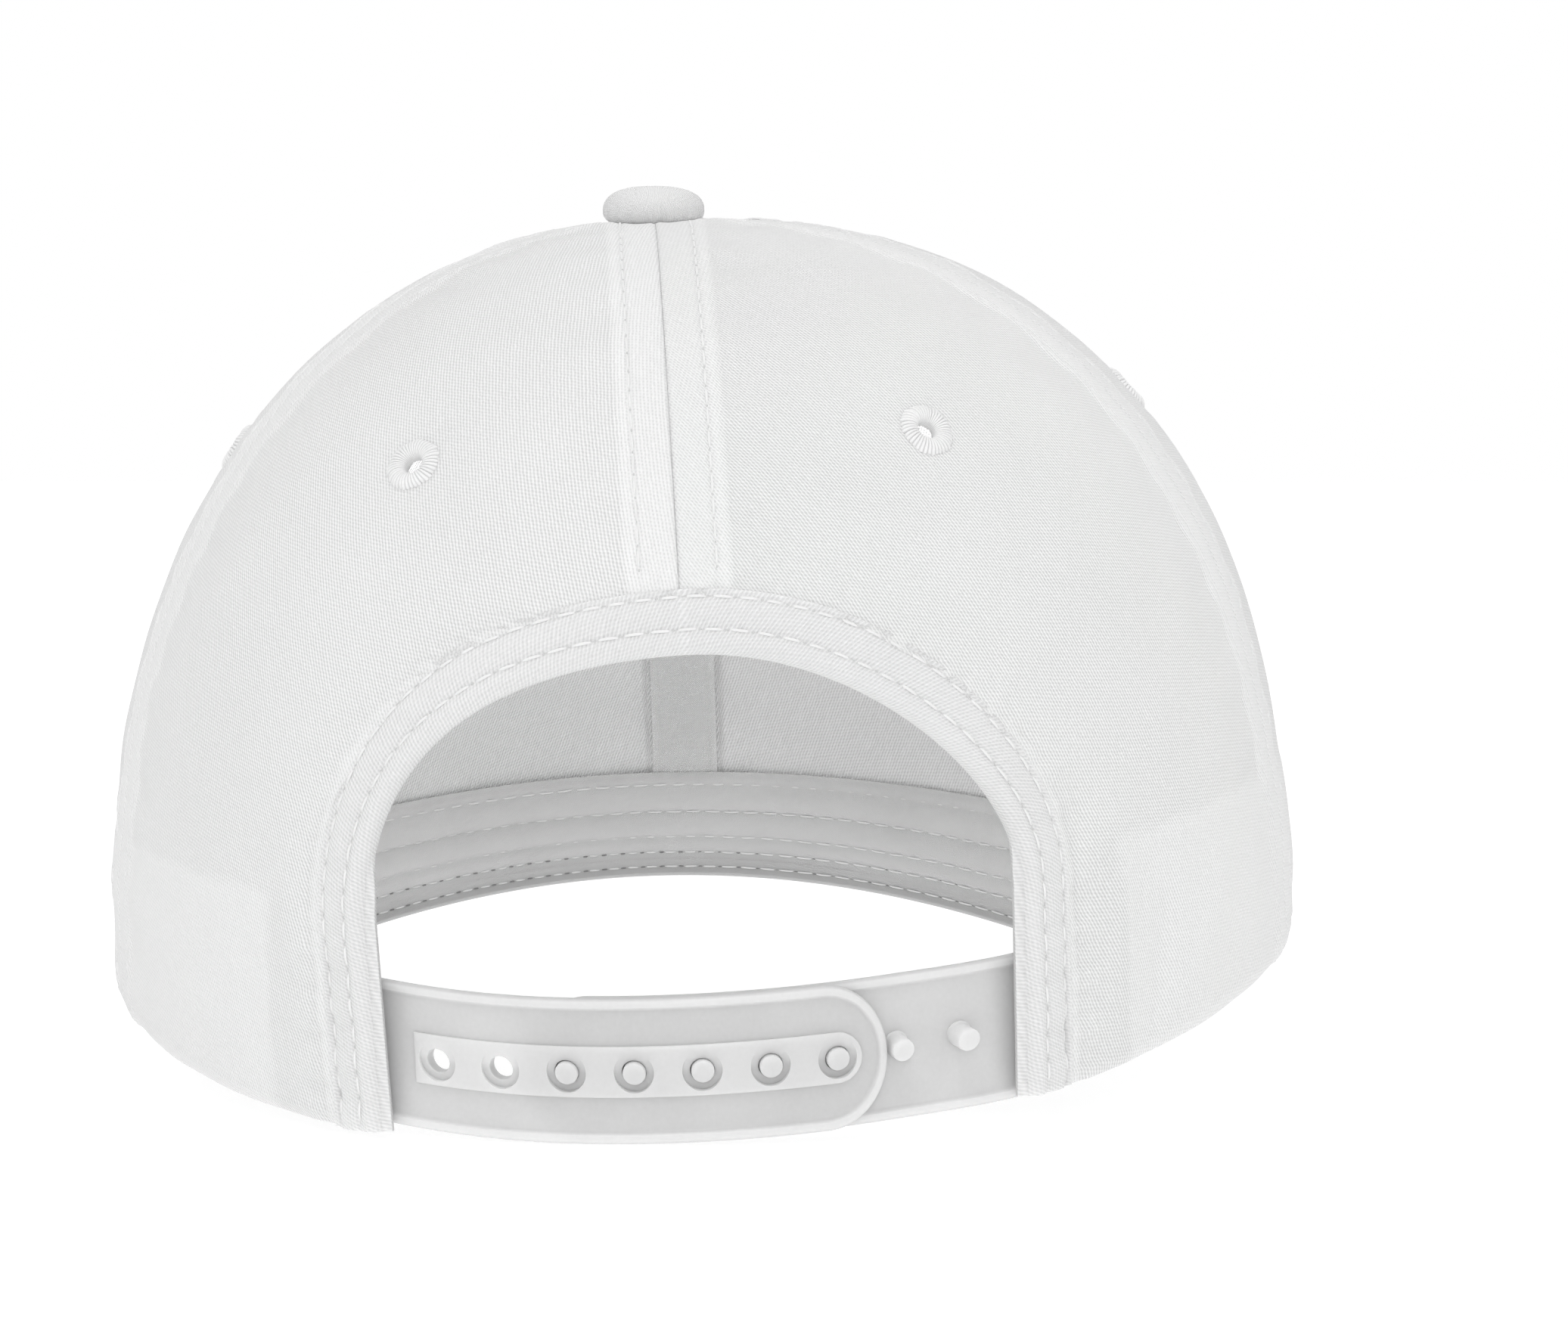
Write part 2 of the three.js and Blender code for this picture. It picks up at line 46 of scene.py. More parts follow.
# the cap's own shape, in millimetres and degrees, as the solids have it
crown = {
    "halfWidth": 90.5, "halfLength": 96.5, "height": 128.0,
    "sideFullness": 2.3, "frontFullness": 2.8, "apexSetback": 12.0,
    "roll": 3.0, "skew": 1.6, "topShift": 3.7, "rimShift": 2.6, "shiftFrom": 35.0,
    "sideRim": 16.0, "archFrom": 20.0, "archTop": 92.0,
    "wall": 1.2, "gap": 0.3, "layer": 0.5,
}
# azimuth of each seam at the apex and at the rim
seams = {"back": (0.0, 0.0), "rear": (60.0, 74.0), "fore": (120.0, 122.0), "front": (180.0, 180.0)}
opening = {
    "halfWidth": 45.4, "straight": 29.8, "arch": 35.8, "flare": 0.8, "skew": 2.9, "hem": 7.5, "archShare": 0.62,
}
board = {
    "halfWidth": 84.0, "reach": 70.0, "squareness": 2.4, "shoulder": 18.0, "frontShare": 0.86,
    "curve": 200.0, "slope": 2.5, "thick": 3.0, "end": 118.0,
}
band = {"back": 32.0, "front": 15.0, "end": 38.5, "drop": 8.0}
strap = {
    "height": 20.0, "thick": 1.8, "dip": 2.0, "leftRise": 1.5, "lean": 0.5, "tuck": 12.0, "stripHeight": 7.0,
    "holes": 7, "pitch": 9.28, "first": 37.4, "empty": 2, "tipLead": 7.4, "pegTipLead": 6.0,
}
eyelet = {"radius": 4.2, "level": 0.507, "back": 32.0, "side": 90.0, "front": 147.0}
button = {"radius": 7.6, "height": 5.1}
bothSides = (("left", 1), ("right", -1))
everyPanel = [(name, side, sign) for side, sign in bothSides for name in ("back", "side", "front")]
outerPitch, finePitch = 3.6, 3.4  # step of the stitches on the crown, and of those inside it and on the peak
bias = (0.906, 0.423)  # cosine and sine of the 25 degrees by which the cloth of hem and peak is turned


def smooth(value, low, high):
    t = np.clip((np.asarray(value, float) - low) / (high - low), 0, 1)
    return t * t * (3 - 2 * t)


def blendTo(a, b, t):
    return a + (b - a) * t


def bump(distance, middle, width):
    return np.exp(-(((distance - middle) / width) ** 2))


def wave(run, length, phase=0.0):
    return np.sin(run * 2 * np.pi / length + phase)


def runLengths(line):  # how far along a line each of its places is
    return np.concatenate([[0], np.cumsum(np.linalg.norm(np.diff(line, axis=0), axis=1))])


def rolled(x, y, z, degrees):
    a = np.radians(degrees)
    return np.stack([x * np.cos(a) + z * np.sin(a), y, z * np.cos(a) - x * np.sin(a)], -1)


def onBias(u, v):
    return np.stack([u * bias[0] + v * bias[1], v * bias[0] - u * bias[1]], -1)


def rimPlan(az, inset=0.0):
    a = np.radians(az)
    return (crown["halfWidth"] - inset) * np.sin(a), (crown["halfLength"] - inset) * np.cos(a)


def turnFromBack(az):
    a = np.mod(np.abs(az), 360)
    return np.minimum(a, 360 - a)


def boardDrop(x, y):
    return x * x / (2 * board["curve"]) + math.tan(math.radians(board["slope"])) * (-y - crown["halfLength"])


def boardOutline(share):  # -1 right end, over the front, 1 left end
    share = np.asarray(share, float)
    sign = np.sign(share)
    turn = np.radians(90 * np.minimum(1, np.abs(share) / board["frontShare"]))
    power = 2 / board["squareness"]
    x = board["halfWidth"] * sign * np.sin(turn) ** power
    forward = (board["reach"] + board["shoulder"]) * np.maximum(0, np.cos(turn)) ** power
    y = -crown["halfLength"] + board["shoulder"] - forward
    cornerX, cornerY = rimPlan(board["end"])
    run = np.maximum(0, (np.abs(share) - board["frontShare"]) / (1 - board["frontShare"]))
    return blendTo(x, sign * (cornerX + crown["gap"]), run), blendTo(y, cornerY, run)


boardRise = boardDrop(*boardOutline(np.linspace(-1, 1, 25))).max()


def boardBottom(x, y):
    return boardRise - boardDrop(x, y)


def strapSag(x):
    share = np.asarray(x, float) / opening["halfWidth"]
    return strap["dip"] * share**2 + strap["leftRise"] * np.maximum(0, share) ** 3


strapReach = np.linspace(0, opening["halfWidth"], 61)
strapLift = float((math.tan(math.radians(crown["roll"])) * strapReach - strapSag(strapReach)).max())
backRim = strapLift + strap["dip"] - crown["gap"]


def frontShare(az):
    return smooth(turnFromBack(az), crown["archTop"], board["end"])


def rimHeight(az):
    side = blendTo(backRim, crown["sideRim"], smooth(turnFromBack(az), crown["archFrom"], crown["archTop"]))
    front = boardBottom(*rimPlan(az, crown["wall"])) + board["thick"] + crown["layer"]
    return blendTo(side, front, frontShare(az))


def fullness(az):
    c = np.cos(np.radians(az))
    return np.where(c < 0, blendTo(crown["sideFullness"], crown["frontFullness"], c * c), crown["sideFullness"])


def crownShares(az, down):
    power = 2 / fullness(az)
    inner = np.clip(down, 0, 1)
    rise = np.where(down > 1, (1 - down) * 0.5, np.maximum(0, np.cos(np.pi / 2 * inner)) ** power)
    return rise, np.sin(np.pi / 2 * inner) ** power


def crownPoint(az, down):  # down is 0 at the apex and 1 at the rim
    az, down = np.broadcast_arrays(np.asarray(az, float), np.asarray(down, float))
    rise, spread = crownShares(az, down)
    planX, planY = rimPlan(az)
    rim = rimHeight(az)
    up = np.maximum(rise, 0)
    free = 1 - frontShare(az) * (1 - up)
    turn = turnFromBack(az)
    lean = smooth(turn, crown["shiftFrom"], 90) * smooth(180 - turn, 0, 90) * spread * (2 - spread)
    x = planX * spread - blendTo(crown["topShift"], crown["rimShift"], np.clip(down, 0, 1)) * lean * free
    y = planY * spread + crown["apexSetback"] * up
    z = rim + (crown["height"] - rim) * rise - math.tan(math.radians(crown["skew"])) * x * up * spread
    return rolled(x, y, z, crown["roll"] * free)


def crownNormal(az, down):
    along = crownPoint(az + 0.5, down) - crownPoint(az - 0.5, down)
    below = crownPoint(az, down + 0.004) - crownPoint(az, np.maximum(1e-4, down - 0.004))
    normal = np.cross(along, below)
    return normal / np.linalg.norm(normal, axis=-1, keepdims=True)


def overCrown(az, down, lift):  # places lifted off the crown, and the crown's normals there
    normals = crownNormal(az, down)
    return crownPoint(az, down) + normals * lift[..., None], normals


def downAtHeight(az, height):
    rim = rimHeight(az)
    rise = (height - rim) / (crown["height"] - rim)
    return np.where(rise < 0, 1 - rise / 0.5, 2 / np.pi * np.arccos(np.clip(rise, 0, 1) ** (fullness(az) / 2)))


def downAtRadius(radius):
    return 2 / math.pi * math.asin((radius / crown["halfWidth"]) ** (crown["sideFullness"] / 2))


def azimuthAt(x, height):
    low, high = np.zeros_like(x), np.full_like(x, 85.0)
    for _ in range(40):
        middle = (low + high) / 2
        spread = crownShares(middle, downAtHeight(middle, height))[1]
        inside = rimPlan(middle)[0] * spread < x
        low, high = np.where(inside, middle, low), np.where(inside, high, middle)
    return (low + high) / 2


def openingPlace(share, out, side):  # share 0 at the arch's top, 1 at its lower corner
    share = np.asarray(share, float)
    out = np.broadcast_to(np.asarray(out, float), share.shape)
    turn = np.radians(90 * np.maximum(0, 1 - share / opening["archShare"]))
    fall = np.maximum(0, share - opening["archShare"]) / (1 - opening["archShare"])
    spring = backRim + opening["straight"]
    half = opening["halfWidth"] + opening["flare"] * (1 - fall)
    x = np.maximum(crown["gap"] / 2, (half + out) * np.cos(turn))
    height = spring + (opening["arch"] + out) * np.sin(turn)
    height = height + side * opening["skew"] * np.sin(2 * turn) * np.cos(turn)
    corner = rimHeight(azimuthAt(x, np.full_like(x, backRim + 1)))
    height = np.where(fall > 0, blendTo(spring, corner, fall), height)
    az = azimuthAt(x, height)
    return side * az, np.where(share < 1, downAtHeight(az, height), 1.0)


def archDown(out, side=1):  # how far down the crown the arch's top is, that far out from the edge
    return openingPlace(np.array([0.0]), out, side)[1][0]


def seamAzimuth(name, down):
    atApex, atRim = seams[name]
    return blendTo(atApex, atRim, 1 - (1 - np.minimum(1, down)) ** 2)


def mmPerDegree(az, down):
    return np.linalg.norm(crownPoint(az + 0.5, down) - crownPoint(az - 0.5, down), axis=-1)


def bandTop(az):
    return rimHeight(az) + blendTo(band["back"], band["front"], smooth(turnFromBack(az), crown["archFrom"], 180))


def bandBottom(az):
    covered = smooth(turnFromBack(az), board["end"] - band["drop"], board["end"])
    return rimHeight(az) - (board["thick"] + crown["layer"]) * covered


low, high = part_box("top_button")
apex = crownPoint(0.0, 0.0)
origin = np.append((np.array(low) + np.array(high))[:2] * 500 - apex[:2], 0.0)  # crown to cap, in mm


def toMetres(points):
    return (np.asarray(points, float) + origin) * 0.001


# camera, as the photograph was taken: just above the floor, straight at the opening
view = {
    "side": 2.094, "above": 3.486, "roll": 0.112, "aim": (-11.938, 36.4, 59.609), "away": 734.044,
    "focal": 6268.83, "sensor": 36.0, "photoWidth": 2073,
}


def addCamera():
    side, above, roll = (math.radians(view[k]) for k in ("side", "above", "roll"))
    back = Vector((math.sin(side) * math.cos(above), math.cos(side) * math.cos(above), math.sin(above)))
    right = (-back).cross(Vector((0, 0, 1))).normalized()
    up = right.cross(-back)
    right, up = right * math.cos(roll) + up * math.sin(roll), up * math.cos(roll) - right * math.sin(roll)
    place = (Vector(view["aim"]) + back * view["away"]) * 0.001
    bpy.ops.object.camera_add(location=place)
    camera = bpy.context.object
    camera.matrix_world = Matrix.Translation(place) @ Matrix((right, up, back)).transposed().to_4x4()
    camera.data.sensor_width = view["sensor"]
    camera.data.lens = view["focal"] * view["sensor"] / view["photoWidth"]
    camera.data.clip_start = 0.05
    bpy.context.scene.camera = camera


addCamera()


# making and finishing pieces
def clearSelection():
    for thing in bpy.context.selected_objects:
        thing.select_set(False)


def useOnly(piece):
    clearSelection()
    piece.select_set(True)
    bpy.context.view_layer.objects.active = piece


def applyModifier(piece, kind, **settings):
    useOnly(piece)
    modifier = piece.modifiers.new(kind.title(), kind)
    for name, value in settings.items():
        setattr(modifier, name, value)
    bpy.ops.object.modifier_apply(modifier=modifier.name)


def thicken(piece, look, offset=-1, **settings):
    applyModifier(piece, "SOLIDIFY", thickness=look["wall"] * 0.001, offset=offset, **settings)


def enterEdit(piece, action="SELECT"):
    useOnly(piece)
    bpy.ops.object.mode_set(mode="EDIT")
    bpy.ops.mesh.select_all(action=action)


def leaveEdit():
    bpy.ops.object.mode_set(mode="OBJECT")


def closeNet(piece):
    enterEdit(piece)
    bpy.ops.mesh.remove_doubles(threshold=0.000001)
    bpy.ops.mesh.dissolve_degenerate(threshold=0.000001)
    bpy.ops.mesh.normals_make_consistent(inside=False)
    leaveEdit()
    return piece


def readPlaces(piece):  # in metres, as the mesh has them
    places = np.empty(len(piece.data.vertices) * 3, np.float32)
    piece.data.vertices.foreach_get("co", places)
    return places.reshape(-1, 3)


def setPlaces(piece, places):  # in millimetres
    piece.data.vertices.foreach_set("co", toMetres(places).reshape(-1).astype(np.float32))
    piece.data.update()


def setWeave(piece, weave):  # the cloth's own map, in millimetres
    corner = np.empty(len(piece.data.loops), np.int32)
    piece.data.loops.foreach_get("vertex_index", corner)
    layer = piece.data.uv_layers.active or piece.data.uv_layers.new(name="weave")
    layer.name = "weave"
    layer.data.foreach_set("uv", weave.reshape(-1, 2)[corner].reshape(-1).astype(np.float32))


def setMark(piece, mark, values):
    attribute = piece.data.attributes.new(mark, "FLOAT", "POINT")
    attribute.data.foreach_set("value", np.asarray(values, np.float32).reshape(-1))


# rows x columns of places in millimetres become a sheet
def layCloth(name, points, weave=None, marks=None):
    rows, columns = points.shape[:2]
    clearSelection()
    bpy.ops.mesh.primitive_grid_add(x_subdivisions=columns - 1, y_subdivisions=rows - 1, size=1)
    piece = bpy.context.object
    piece.name = piece.data.name = name
    setPlaces(piece, points)
    if weave is not None:
        setWeave(piece, weave)
    for mark, values in (marks or {}).items():
        setMark(piece, mark, values)
    return piece


def finishPiece(piece, slot, material, *nodes, sharp=40):
    piece.data.materials.clear()
    for one in material if isinstance(material, tuple) else (material,):
        piece.data.materials.append(one)
    useOnly(piece)
    bpy.ops.object.shade_smooth_by_angle(angle=math.radians(sharp))
    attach(piece, "root")
    if nodes:
        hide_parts(*nodes)
    return piece


# finishes
def grey(value):
    return (value, value, value)


def newFinish(name, color, roughness, **sockets):
    material = bpy.data.materials.new(name)
    material.use_nodes = True
    shader = material.node_tree.nodes["Principled BSDF"]
    shader.inputs["Base Color"].default_value = (*color, 1)
    shader.inputs["Roughness"].default_value = roughness
    for socket, value in sockets.items():
        shader.inputs[socket.replace("_", " ")].default_value = value
    return material, shader


def addNode(material, kind, inputs=None, **settings):
    node = material.node_tree.nodes.new(kind)
    for name, value in settings.items():
        setattr(node, name, value)
    for socket, value in (inputs or {}).items():
        if isinstance(value, bpy.types.NodeSocket):
            material.node_tree.links.new(value, node.inputs[socket])
        else:
            node.inputs[socket].default_value = value
    return node


def calc(material, operation, a, b=0.0, c=0.0):
    return addNode(material, "ShaderNodeMath", {0: a, 1: b, 2: c}, operation=operation).outputs[0]


def noise(material, place, scale, detail=2.0, rough=0.5):
    inputs = {"Vector": place, "Scale": scale, "Detail": detail, "Roughness": rough}
    return addNode(material, "ShaderNodeTexNoise", inputs).outputs["Fac"]


def markOf(material, mark):
    return addNode(material, "ShaderNodeAttribute", attribute_name=mark).outputs["Fac"]


def paint(material, shader, factor, dark, light):
    mixed = addNode(material, "ShaderNodeMix", {0: factor, 6: (*dark, 1), 7: (*light, 1)}, data_type="RGBA")
    material.node_tree.links.new(mixed.outputs[2], shader.inputs["Base Color"])


def setBump(material, shader, height, strength, distance):
    node = addNode(material, "ShaderNodeBump", {"Height": height, "Strength": strength, "Distance": distance})
    material.node_tree.links.new(node.outputs[0], shader.inputs["Normal"])


# twill ridges or a plain weave on the piece's own map, in millimetres
def wovenFinish(name, look):
    material, shader = newFinish(
        name, look["light"], look["rough"], Specular_IOR_Level=0.2, Sheen_Weight=look["sheen"], Sheen_Roughness=0.5,
        Subsurface_Weight=look["through"], Subsurface_Radius=grey(1.0), Subsurface_Scale=0.0014,
    )
    place = addNode(material, "ShaderNodeUVMap", uv_map="weave").outputs[0]
    wander = calc(material, "MULTIPLY_ADD", noise(material, place, 0.9), look["drift"], -look["drift"] / 2)
    axes = addNode(material, "ShaderNodeSeparateXYZ", {0: place})
    across = calc(material, "ADD", axes.outputs[0], wander)
    along = calc(material, "ADD", axes.outputs[1], wander)
    ridge = calc(material, "SINE", calc(material, "MULTIPLY", across, 2 * math.pi / look["pitch"]))
    if look["twill"]:
        step = calc(material, "MULTIPLY", across, math.pi / look["pitch"])
        over = calc(material, "SINE", calc(material, "MULTIPLY_ADD", along, 2 * math.pi / look["float"], step))
        height = calc(material, "MULTIPLY_ADD", over, 0.3, calc(material, "MULTIPLY", ridge, 0.7))
    else:
        weft = calc(material, "SINE", calc(material, "MULTIPLY", along, 2 * math.pi / look["float"]))
        height = calc(material, "MULTIPLY", ridge, weft)
    rough = calc(material, "MULTIPLY_ADD", noise(material, place, 3.2, 3.0, 0.6), look["grain"], -look["grain"] / 2)
    height = calc(material, "ADD", height, rough)
    # painted shade: the colour follows the weave's height, darker in its hollows
    shade = calc(material, "MULTIPLY_ADD", height, look["depth"], 0.62)
    shade = calc(material, "SUBTRACT", shade, look["cloud"] / 2)
    shade = calc(material, "MULTIPLY_ADD", noise(material, place, 0.035, 3.0), look["cloud"], shade)
    # painted shade: the piece's mark, scaled by the look, paints the cloth lighter or darker where light or shade
    # would fall
    if look["paintedShade"]:
        shade = calc(material, "MULTIPLY_ADD", markOf(material, "paintedShade"), look["paintedShade"], shade)
    clamp = addNode(material, "ShaderNodeClamp", {0: shade})
    paint(material, shader, clamp.outputs[0], look["dark"], look["light"])
    setBump(material, shader, height, look["bump"], look["deep"] * 0.001)
    return material


twillLook = {
    "pitch": 0.48, "float": 0.62, "twill": True, "drift": 0.22, "grain": 0.9, "depth": 0.5, "cloud": 0.22,
    "paintedShade": 0.3, "light": grey(0.87), "dark": grey(0.58), "rough": 0.9, "sheen": 0.12, "bump": 0.8,
    "deep": 0.1, "through": 0.45,
}
plainLook = {
    "pitch": 0.7, "float": 0.7, "twill": False, "drift": 0.1, "grain": 0.7, "depth": 0.42, "cloud": 0.25,
    "paintedShade": 0.0, "light": grey(0.80), "dark": grey(0.60), "rough": 0.92, "sheen": 0.05, "bump": 0.8,
    "deep": 0.08, "through": 0.5,
}
bindingLook = {**twillLook, "paintedShade": -1.2, "depth": 0.34, "light": grey(0.92), "dark": grey(0.60)}
# painted light: the button's twill, finer than the crown's, is also painted lighter, standing for light on its
# shaded sides
litButtonLook = {
    **twillLook, "paintedShade": 0.0, "pitch": 0.42, "float": 0.55, "depth": 0.3,
    "light": grey(0.93), "dark": grey(0.72),
}
bandCotton = {
    **plainLook, "pitch": 0.36, "float": 0.36, "depth": 0.12, "cloud": 0.45, "paintedShade": -0.7, "dark": grey(0.52),
    "deep": 0.04,
}
twillCloth = wovenFinish("twillCloth", twillLook)
bindingCloth = wovenFinish("bindingCloth", bindingLook)
litButtonTwill = wovenFinish("litButtonTwill", litButtonLook)
boardCloth = wovenFinish("boardCloth", {**twillLook, "paintedShade": 0.0, "light": grey(0.86)})
liningCloth = wovenFinish("liningCloth", plainLook)
tapeCloth = wovenFinish("tapeCloth", {**plainLook, "pitch": 0.4, "float": 0.4, "dark": grey(0.64)})
bandCloth = wovenFinish("bandCloth", bandCotton)


def mouldedFinish(name, light, dark):
    material, shader = newFinish(
        name, light, 0.36, Subsurface_Weight=0.85, Subsurface_Radius=grey(1.0), Subsurface_Scale=0.004,
        Specular_IOR_Level=0.45,
    )
    place = addNode(material, "ShaderNodeTexCoord").outputs["Object"]
    flow, fine = noise(material, place, 90.0), noise(material, place, 1500.0, 3.0)
    shade = calc(material, "MULTIPLY_ADD", fine, 0.2, calc(material, "MULTIPLY", flow, 0.3))
    # painted light: lighter where the plastic stands out from the strap's face
    shade = calc(material, "MULTIPLY_ADD", markOf(material, "raisedLight"), 0.3, shade)
    paint(material, shader, shade, dark, light)
    gloss = calc(material, "MULTIPLY_ADD", flow, 0.14, 0.3)
    material.node_tree.links.new(gloss, shader.inputs["Roughness"])
    setBump(material, shader, fine, 0.12, 0.00006)
    return material


milkyPlastic = mouldedFinish("milkyPlastic", grey(0.765), grey(0.52))


def threadFinish(name, light, dark, rough, laid=0.0):
    material, shader = newFinish(name, light, rough, Sheen_Weight=0.2, Sheen_Roughness=0.4, Specular_IOR_Level=0.3)
    place = addNode(material, "ShaderNodeTexCoord").outputs["Object"]
    strand, patch = noise(material, place, 4200.0), noise(material, place, 220.0)
    shade = calc(material, "MULTIPLY_ADD", patch, 0.5, -laid / 2)
    shade = calc(material, "MULTIPLY_ADD", strand, 0.5, shade)
    if laid:  # painted shade: darker between two threads than along the crown of each
        shade = calc(material, "MULTIPLY_ADD", markOf(material, "crest"), laid * 1.2, shade)
    paint(material, shader, shade, dark, light)
    setBump(material, shader, strand, 0.35, 0.00005)
    return material


satinThread = threadFinish("satinThread", grey(0.86), grey(0.58), 0.65, 0.5)
sewingThread = threadFinish("sewingThread", grey(0.86), grey(0.72), 0.75)
# dark and pale painted shade for the specks at the needle's holes
needleShade = threadFinish("needleShade", grey(0.30), grey(0.18), 0.95)
paleShade = threadFinish("paleShade", grey(0.66), grey(0.54), 0.95)
print("finishes made")

# crown panels: six sheets of twill, pulled in at their seams
panelLook = {
    "wall": 1.0, "nearSeam": 8.0, "nearColumns": 13, "middleColumns": 38, "rows": 132,
    "seamDeep": 0.28, "seamWide": 0.42, "seamRaise": 0.26, "seamBand": 7.0, "stitchFrom": 5.3,
    "stitchDeep": 0.2, "puff": 0.5, "bore": 1.9, "apart": 0.012, "bandFrom": 41.5, "twillTurn": 22.0,
    "mapRadius": 93,
}
apexHole = downAtRadius(2.0)
seamDowns = np.linspace(apexHole, 1.0, 160)


def seamLine(name, sign):
    return crownPoint(sign * seamAzimuth(name, seamDowns), seamDowns)


def evenShares(out, side, count):  # shares of the opening's edge, an even step apart in millimetres
    fine = np.linspace(0, 1, 500)
    run = runLengths(crownPoint(*openingPlace(fine, out, side)))
    return np.interp(np.linspace(0, run[-1], count), run, fine), run[-1]


def distanceTo(points, line):  # nearest distance to a line of places, and how far along it that is
    flat = points.reshape(-1, 3)
    starts, steps = line[:-1], np.diff(line, axis=0)
    lengths = np.linalg.norm(steps, axis=1)
    before = np.concatenate([[0], np.cumsum(lengths)[:-1]])
    near, along = np.empty(len(flat)), np.empty(len(flat))
    for first in range(0, len(flat), 2000):
        some = flat[first:first + 2000, None, :] - starts[None]
        t = np.clip((some * steps[None]).sum(-1) / np.maximum(lengths**2, 1e-12), 0, 1)
        gap = np.linalg.norm(some - t[..., None] * steps[None], axis=-1)
        best = gap.argmin(1)
        rows = np.arange(len(best))
        near[first:first + 2000] = gap[rows, best]
        along[first:first + 2000] = before[best] + t[rows, best] * lengths[best]
    return near.reshape(points.shape[:-1]), along.reshape(points.shape[:-1])


allAzimuths = np.linspace(-180, 180, 361)
bandTopLine = crownPoint(allAzimuths, downAtHeight(allAzimuths, bandTop(allAzimuths)))
rimLine = crownPoint(allAzimuths, 1.0)
openingLine = np.concatenate([
    crownPoint(*openingPlace(np.linspace(1, 0, 120), 0.0, 1)),
    crownPoint(*openingPlace(np.linspace(0, 1, 120)[1:], 0.0, -1)),
])
openingRun = runLengths(openingLine)[-1]
meridianDowns = np.linspace(0, 1.02, 300)
meridianRun = runLengths(crownPoint(33.0, meridianDowns))
waves = np.random.default_rng(7).uniform(-1, 1, (40, 5))


def softWander(points, longest):  # slow, smooth unevenness between -1 and 1
    total = np.zeros(points.shape[:-1])
    for kx, ky, kz, phase, weight in waves:
        total += weight * np.sin((points @ np.array([kx, ky, kz])) * 2 * np.pi / longest * 1.6 + phase * 9)
    return total / 4.5


folds = [  # azimuth, height, half length, half width, lift, turn of the crease from upright
    (62, 62, 16, 3.2, 0.55, 70), (58, 74, 15, 2.8, 0.45, 62), (66, 52, 14, 3.0, 0.45, 78),
    (50, 88, 14, 3.5, 0.3, 55), (-41, 28, 13, 2.6, 1.0, 8), (-46, 22, 11, 2.4, -0.85, 14),
    (-37, 36, 12, 2.2, -0.7, 4), (-55, 30, 14, 3.5, 0.4, 24),
    (39, 30, 12, 2.6, 0.45, -8), (44, 18, 10, 2.6, -0.35, -14), (-60, 70, 15, 3.5, 0.3, -60),
    (75, 30, 16, 4.0, 0.35, 80), (-80, 34, 15, 4.0, 0.35, -75), (150, 60, 20, 5.0, 0.3, 20),
    (-150, 70, 20, 5.0, 0.3, -25),
]


def foldLift(az, points):
    height = points[..., 2]
    total = np.zeros(points.shape[:-1])
    for at, level, reach, wide, lift, turn in folds:
        a = math.radians(turn)
        x = (az - at) * 1.5
        y = height - level
        over = x * math.cos(a) + y * math.sin(a)
        run = -x * math.sin(a) + y * math.cos(a)
        total += lift * np.exp(-((over / wide) ** 2) - (run / reach) ** 2)
    return total


def clothLift(az, down, seamLines, openAtBack):
    points = crownPoint(az, down)
    lift = 0.25 * softWander(points, 90) + 0.1 * softWander(points[..., ::-1], 26) + foldLift(az, points)
    toSeam = np.full(az.shape, 99.0)
    for line in seamLines:
        near, along = distanceTo(points, line)
        lift += 0.07 * wave(along, outerPitch) * bump(near, panelLook["stitchFrom"], 1.6)
        lift += 0.26 * wave(along, 11, 2 * np.sin(along / 17)) * bump(near, 9.5, 3.5)
        toSeam = np.minimum(toSeam, near)
    lift -= panelLook["seamDeep"] * bump(toSeam, 0, panelLook["seamWide"])
    lift += panelLook["seamRaise"] * (1 - smooth(toSeam, panelLook["seamBand"] - 0.5, panelLook["seamBand"] + 0.7))
    lift -= panelLook["stitchDeep"] * bump(toSeam, panelLook["stitchFrom"], 0.45)
    # painted shade: the cloth is marked where it lies double (at its seams, over the sweatband and along the
    # opening) to be painted lighter there than where the single cloth lets the shade inside show through
    paintedShade = 1 - smooth(toSeam, panelLook["seamBand"] - 0.4, panelLook["seamBand"] + 0.8)
    lift += panelLook["puff"] * smooth(toSeam, 3, 26)
    toBand, _ = distanceTo(points, bandTopLine)
    bandSide = np.where(down > downAtHeight(az, bandTop(az)), toBand, -toBand)
    lift += 0.22 * smooth(bandSide, -1.5, 1.2)
    lift -= panelLook["puff"] * smooth(bandSide, -22, 2) * smooth(toSeam, 3, 26)
    overBand = smooth(np.abs(az), panelLook["bandFrom"] - 0.4, panelLook["bandFrom"] + 0.6)
    paintedShade = np.maximum(paintedShade, 0.85 * smooth(bandSide, -0.6, 0.8) * overBand)
    toRim, _ = distanceTo(points, rimLine)
    lift -= 0.9 * (1 - np.sqrt(np.clip(1 - (1 - np.clip(toRim / 1.3, 0, 1)) ** 2, 0, 1)))
    if openAtBack:
        toOpening, along = distanceTo(points, openingLine)
        lift *= smooth(toOpening, 3.0, 9.0) * 0.85 + 0.15
        lift += 0.14 * wave(along, outerPitch) * bump(toOpening, 9, 2.2)
        lift -= 0.55 * (1 - smooth(toOpening, 5.6, 7.2)) + 0.22 * bump(toOpening, 8.7, 0.7)
        corner = smooth(np.abs(along - openingRun / 2), 40, 80)
        lift += 0.3 * corner * wave(along, 9.0, 2.2 * np.sin(along / 14)) * bump(toOpening, 10.5, 2.6)
        paintedShade = np.maximum(paintedShade, 1 - smooth(toOpening, 7, 9))
    return lift, paintedShade


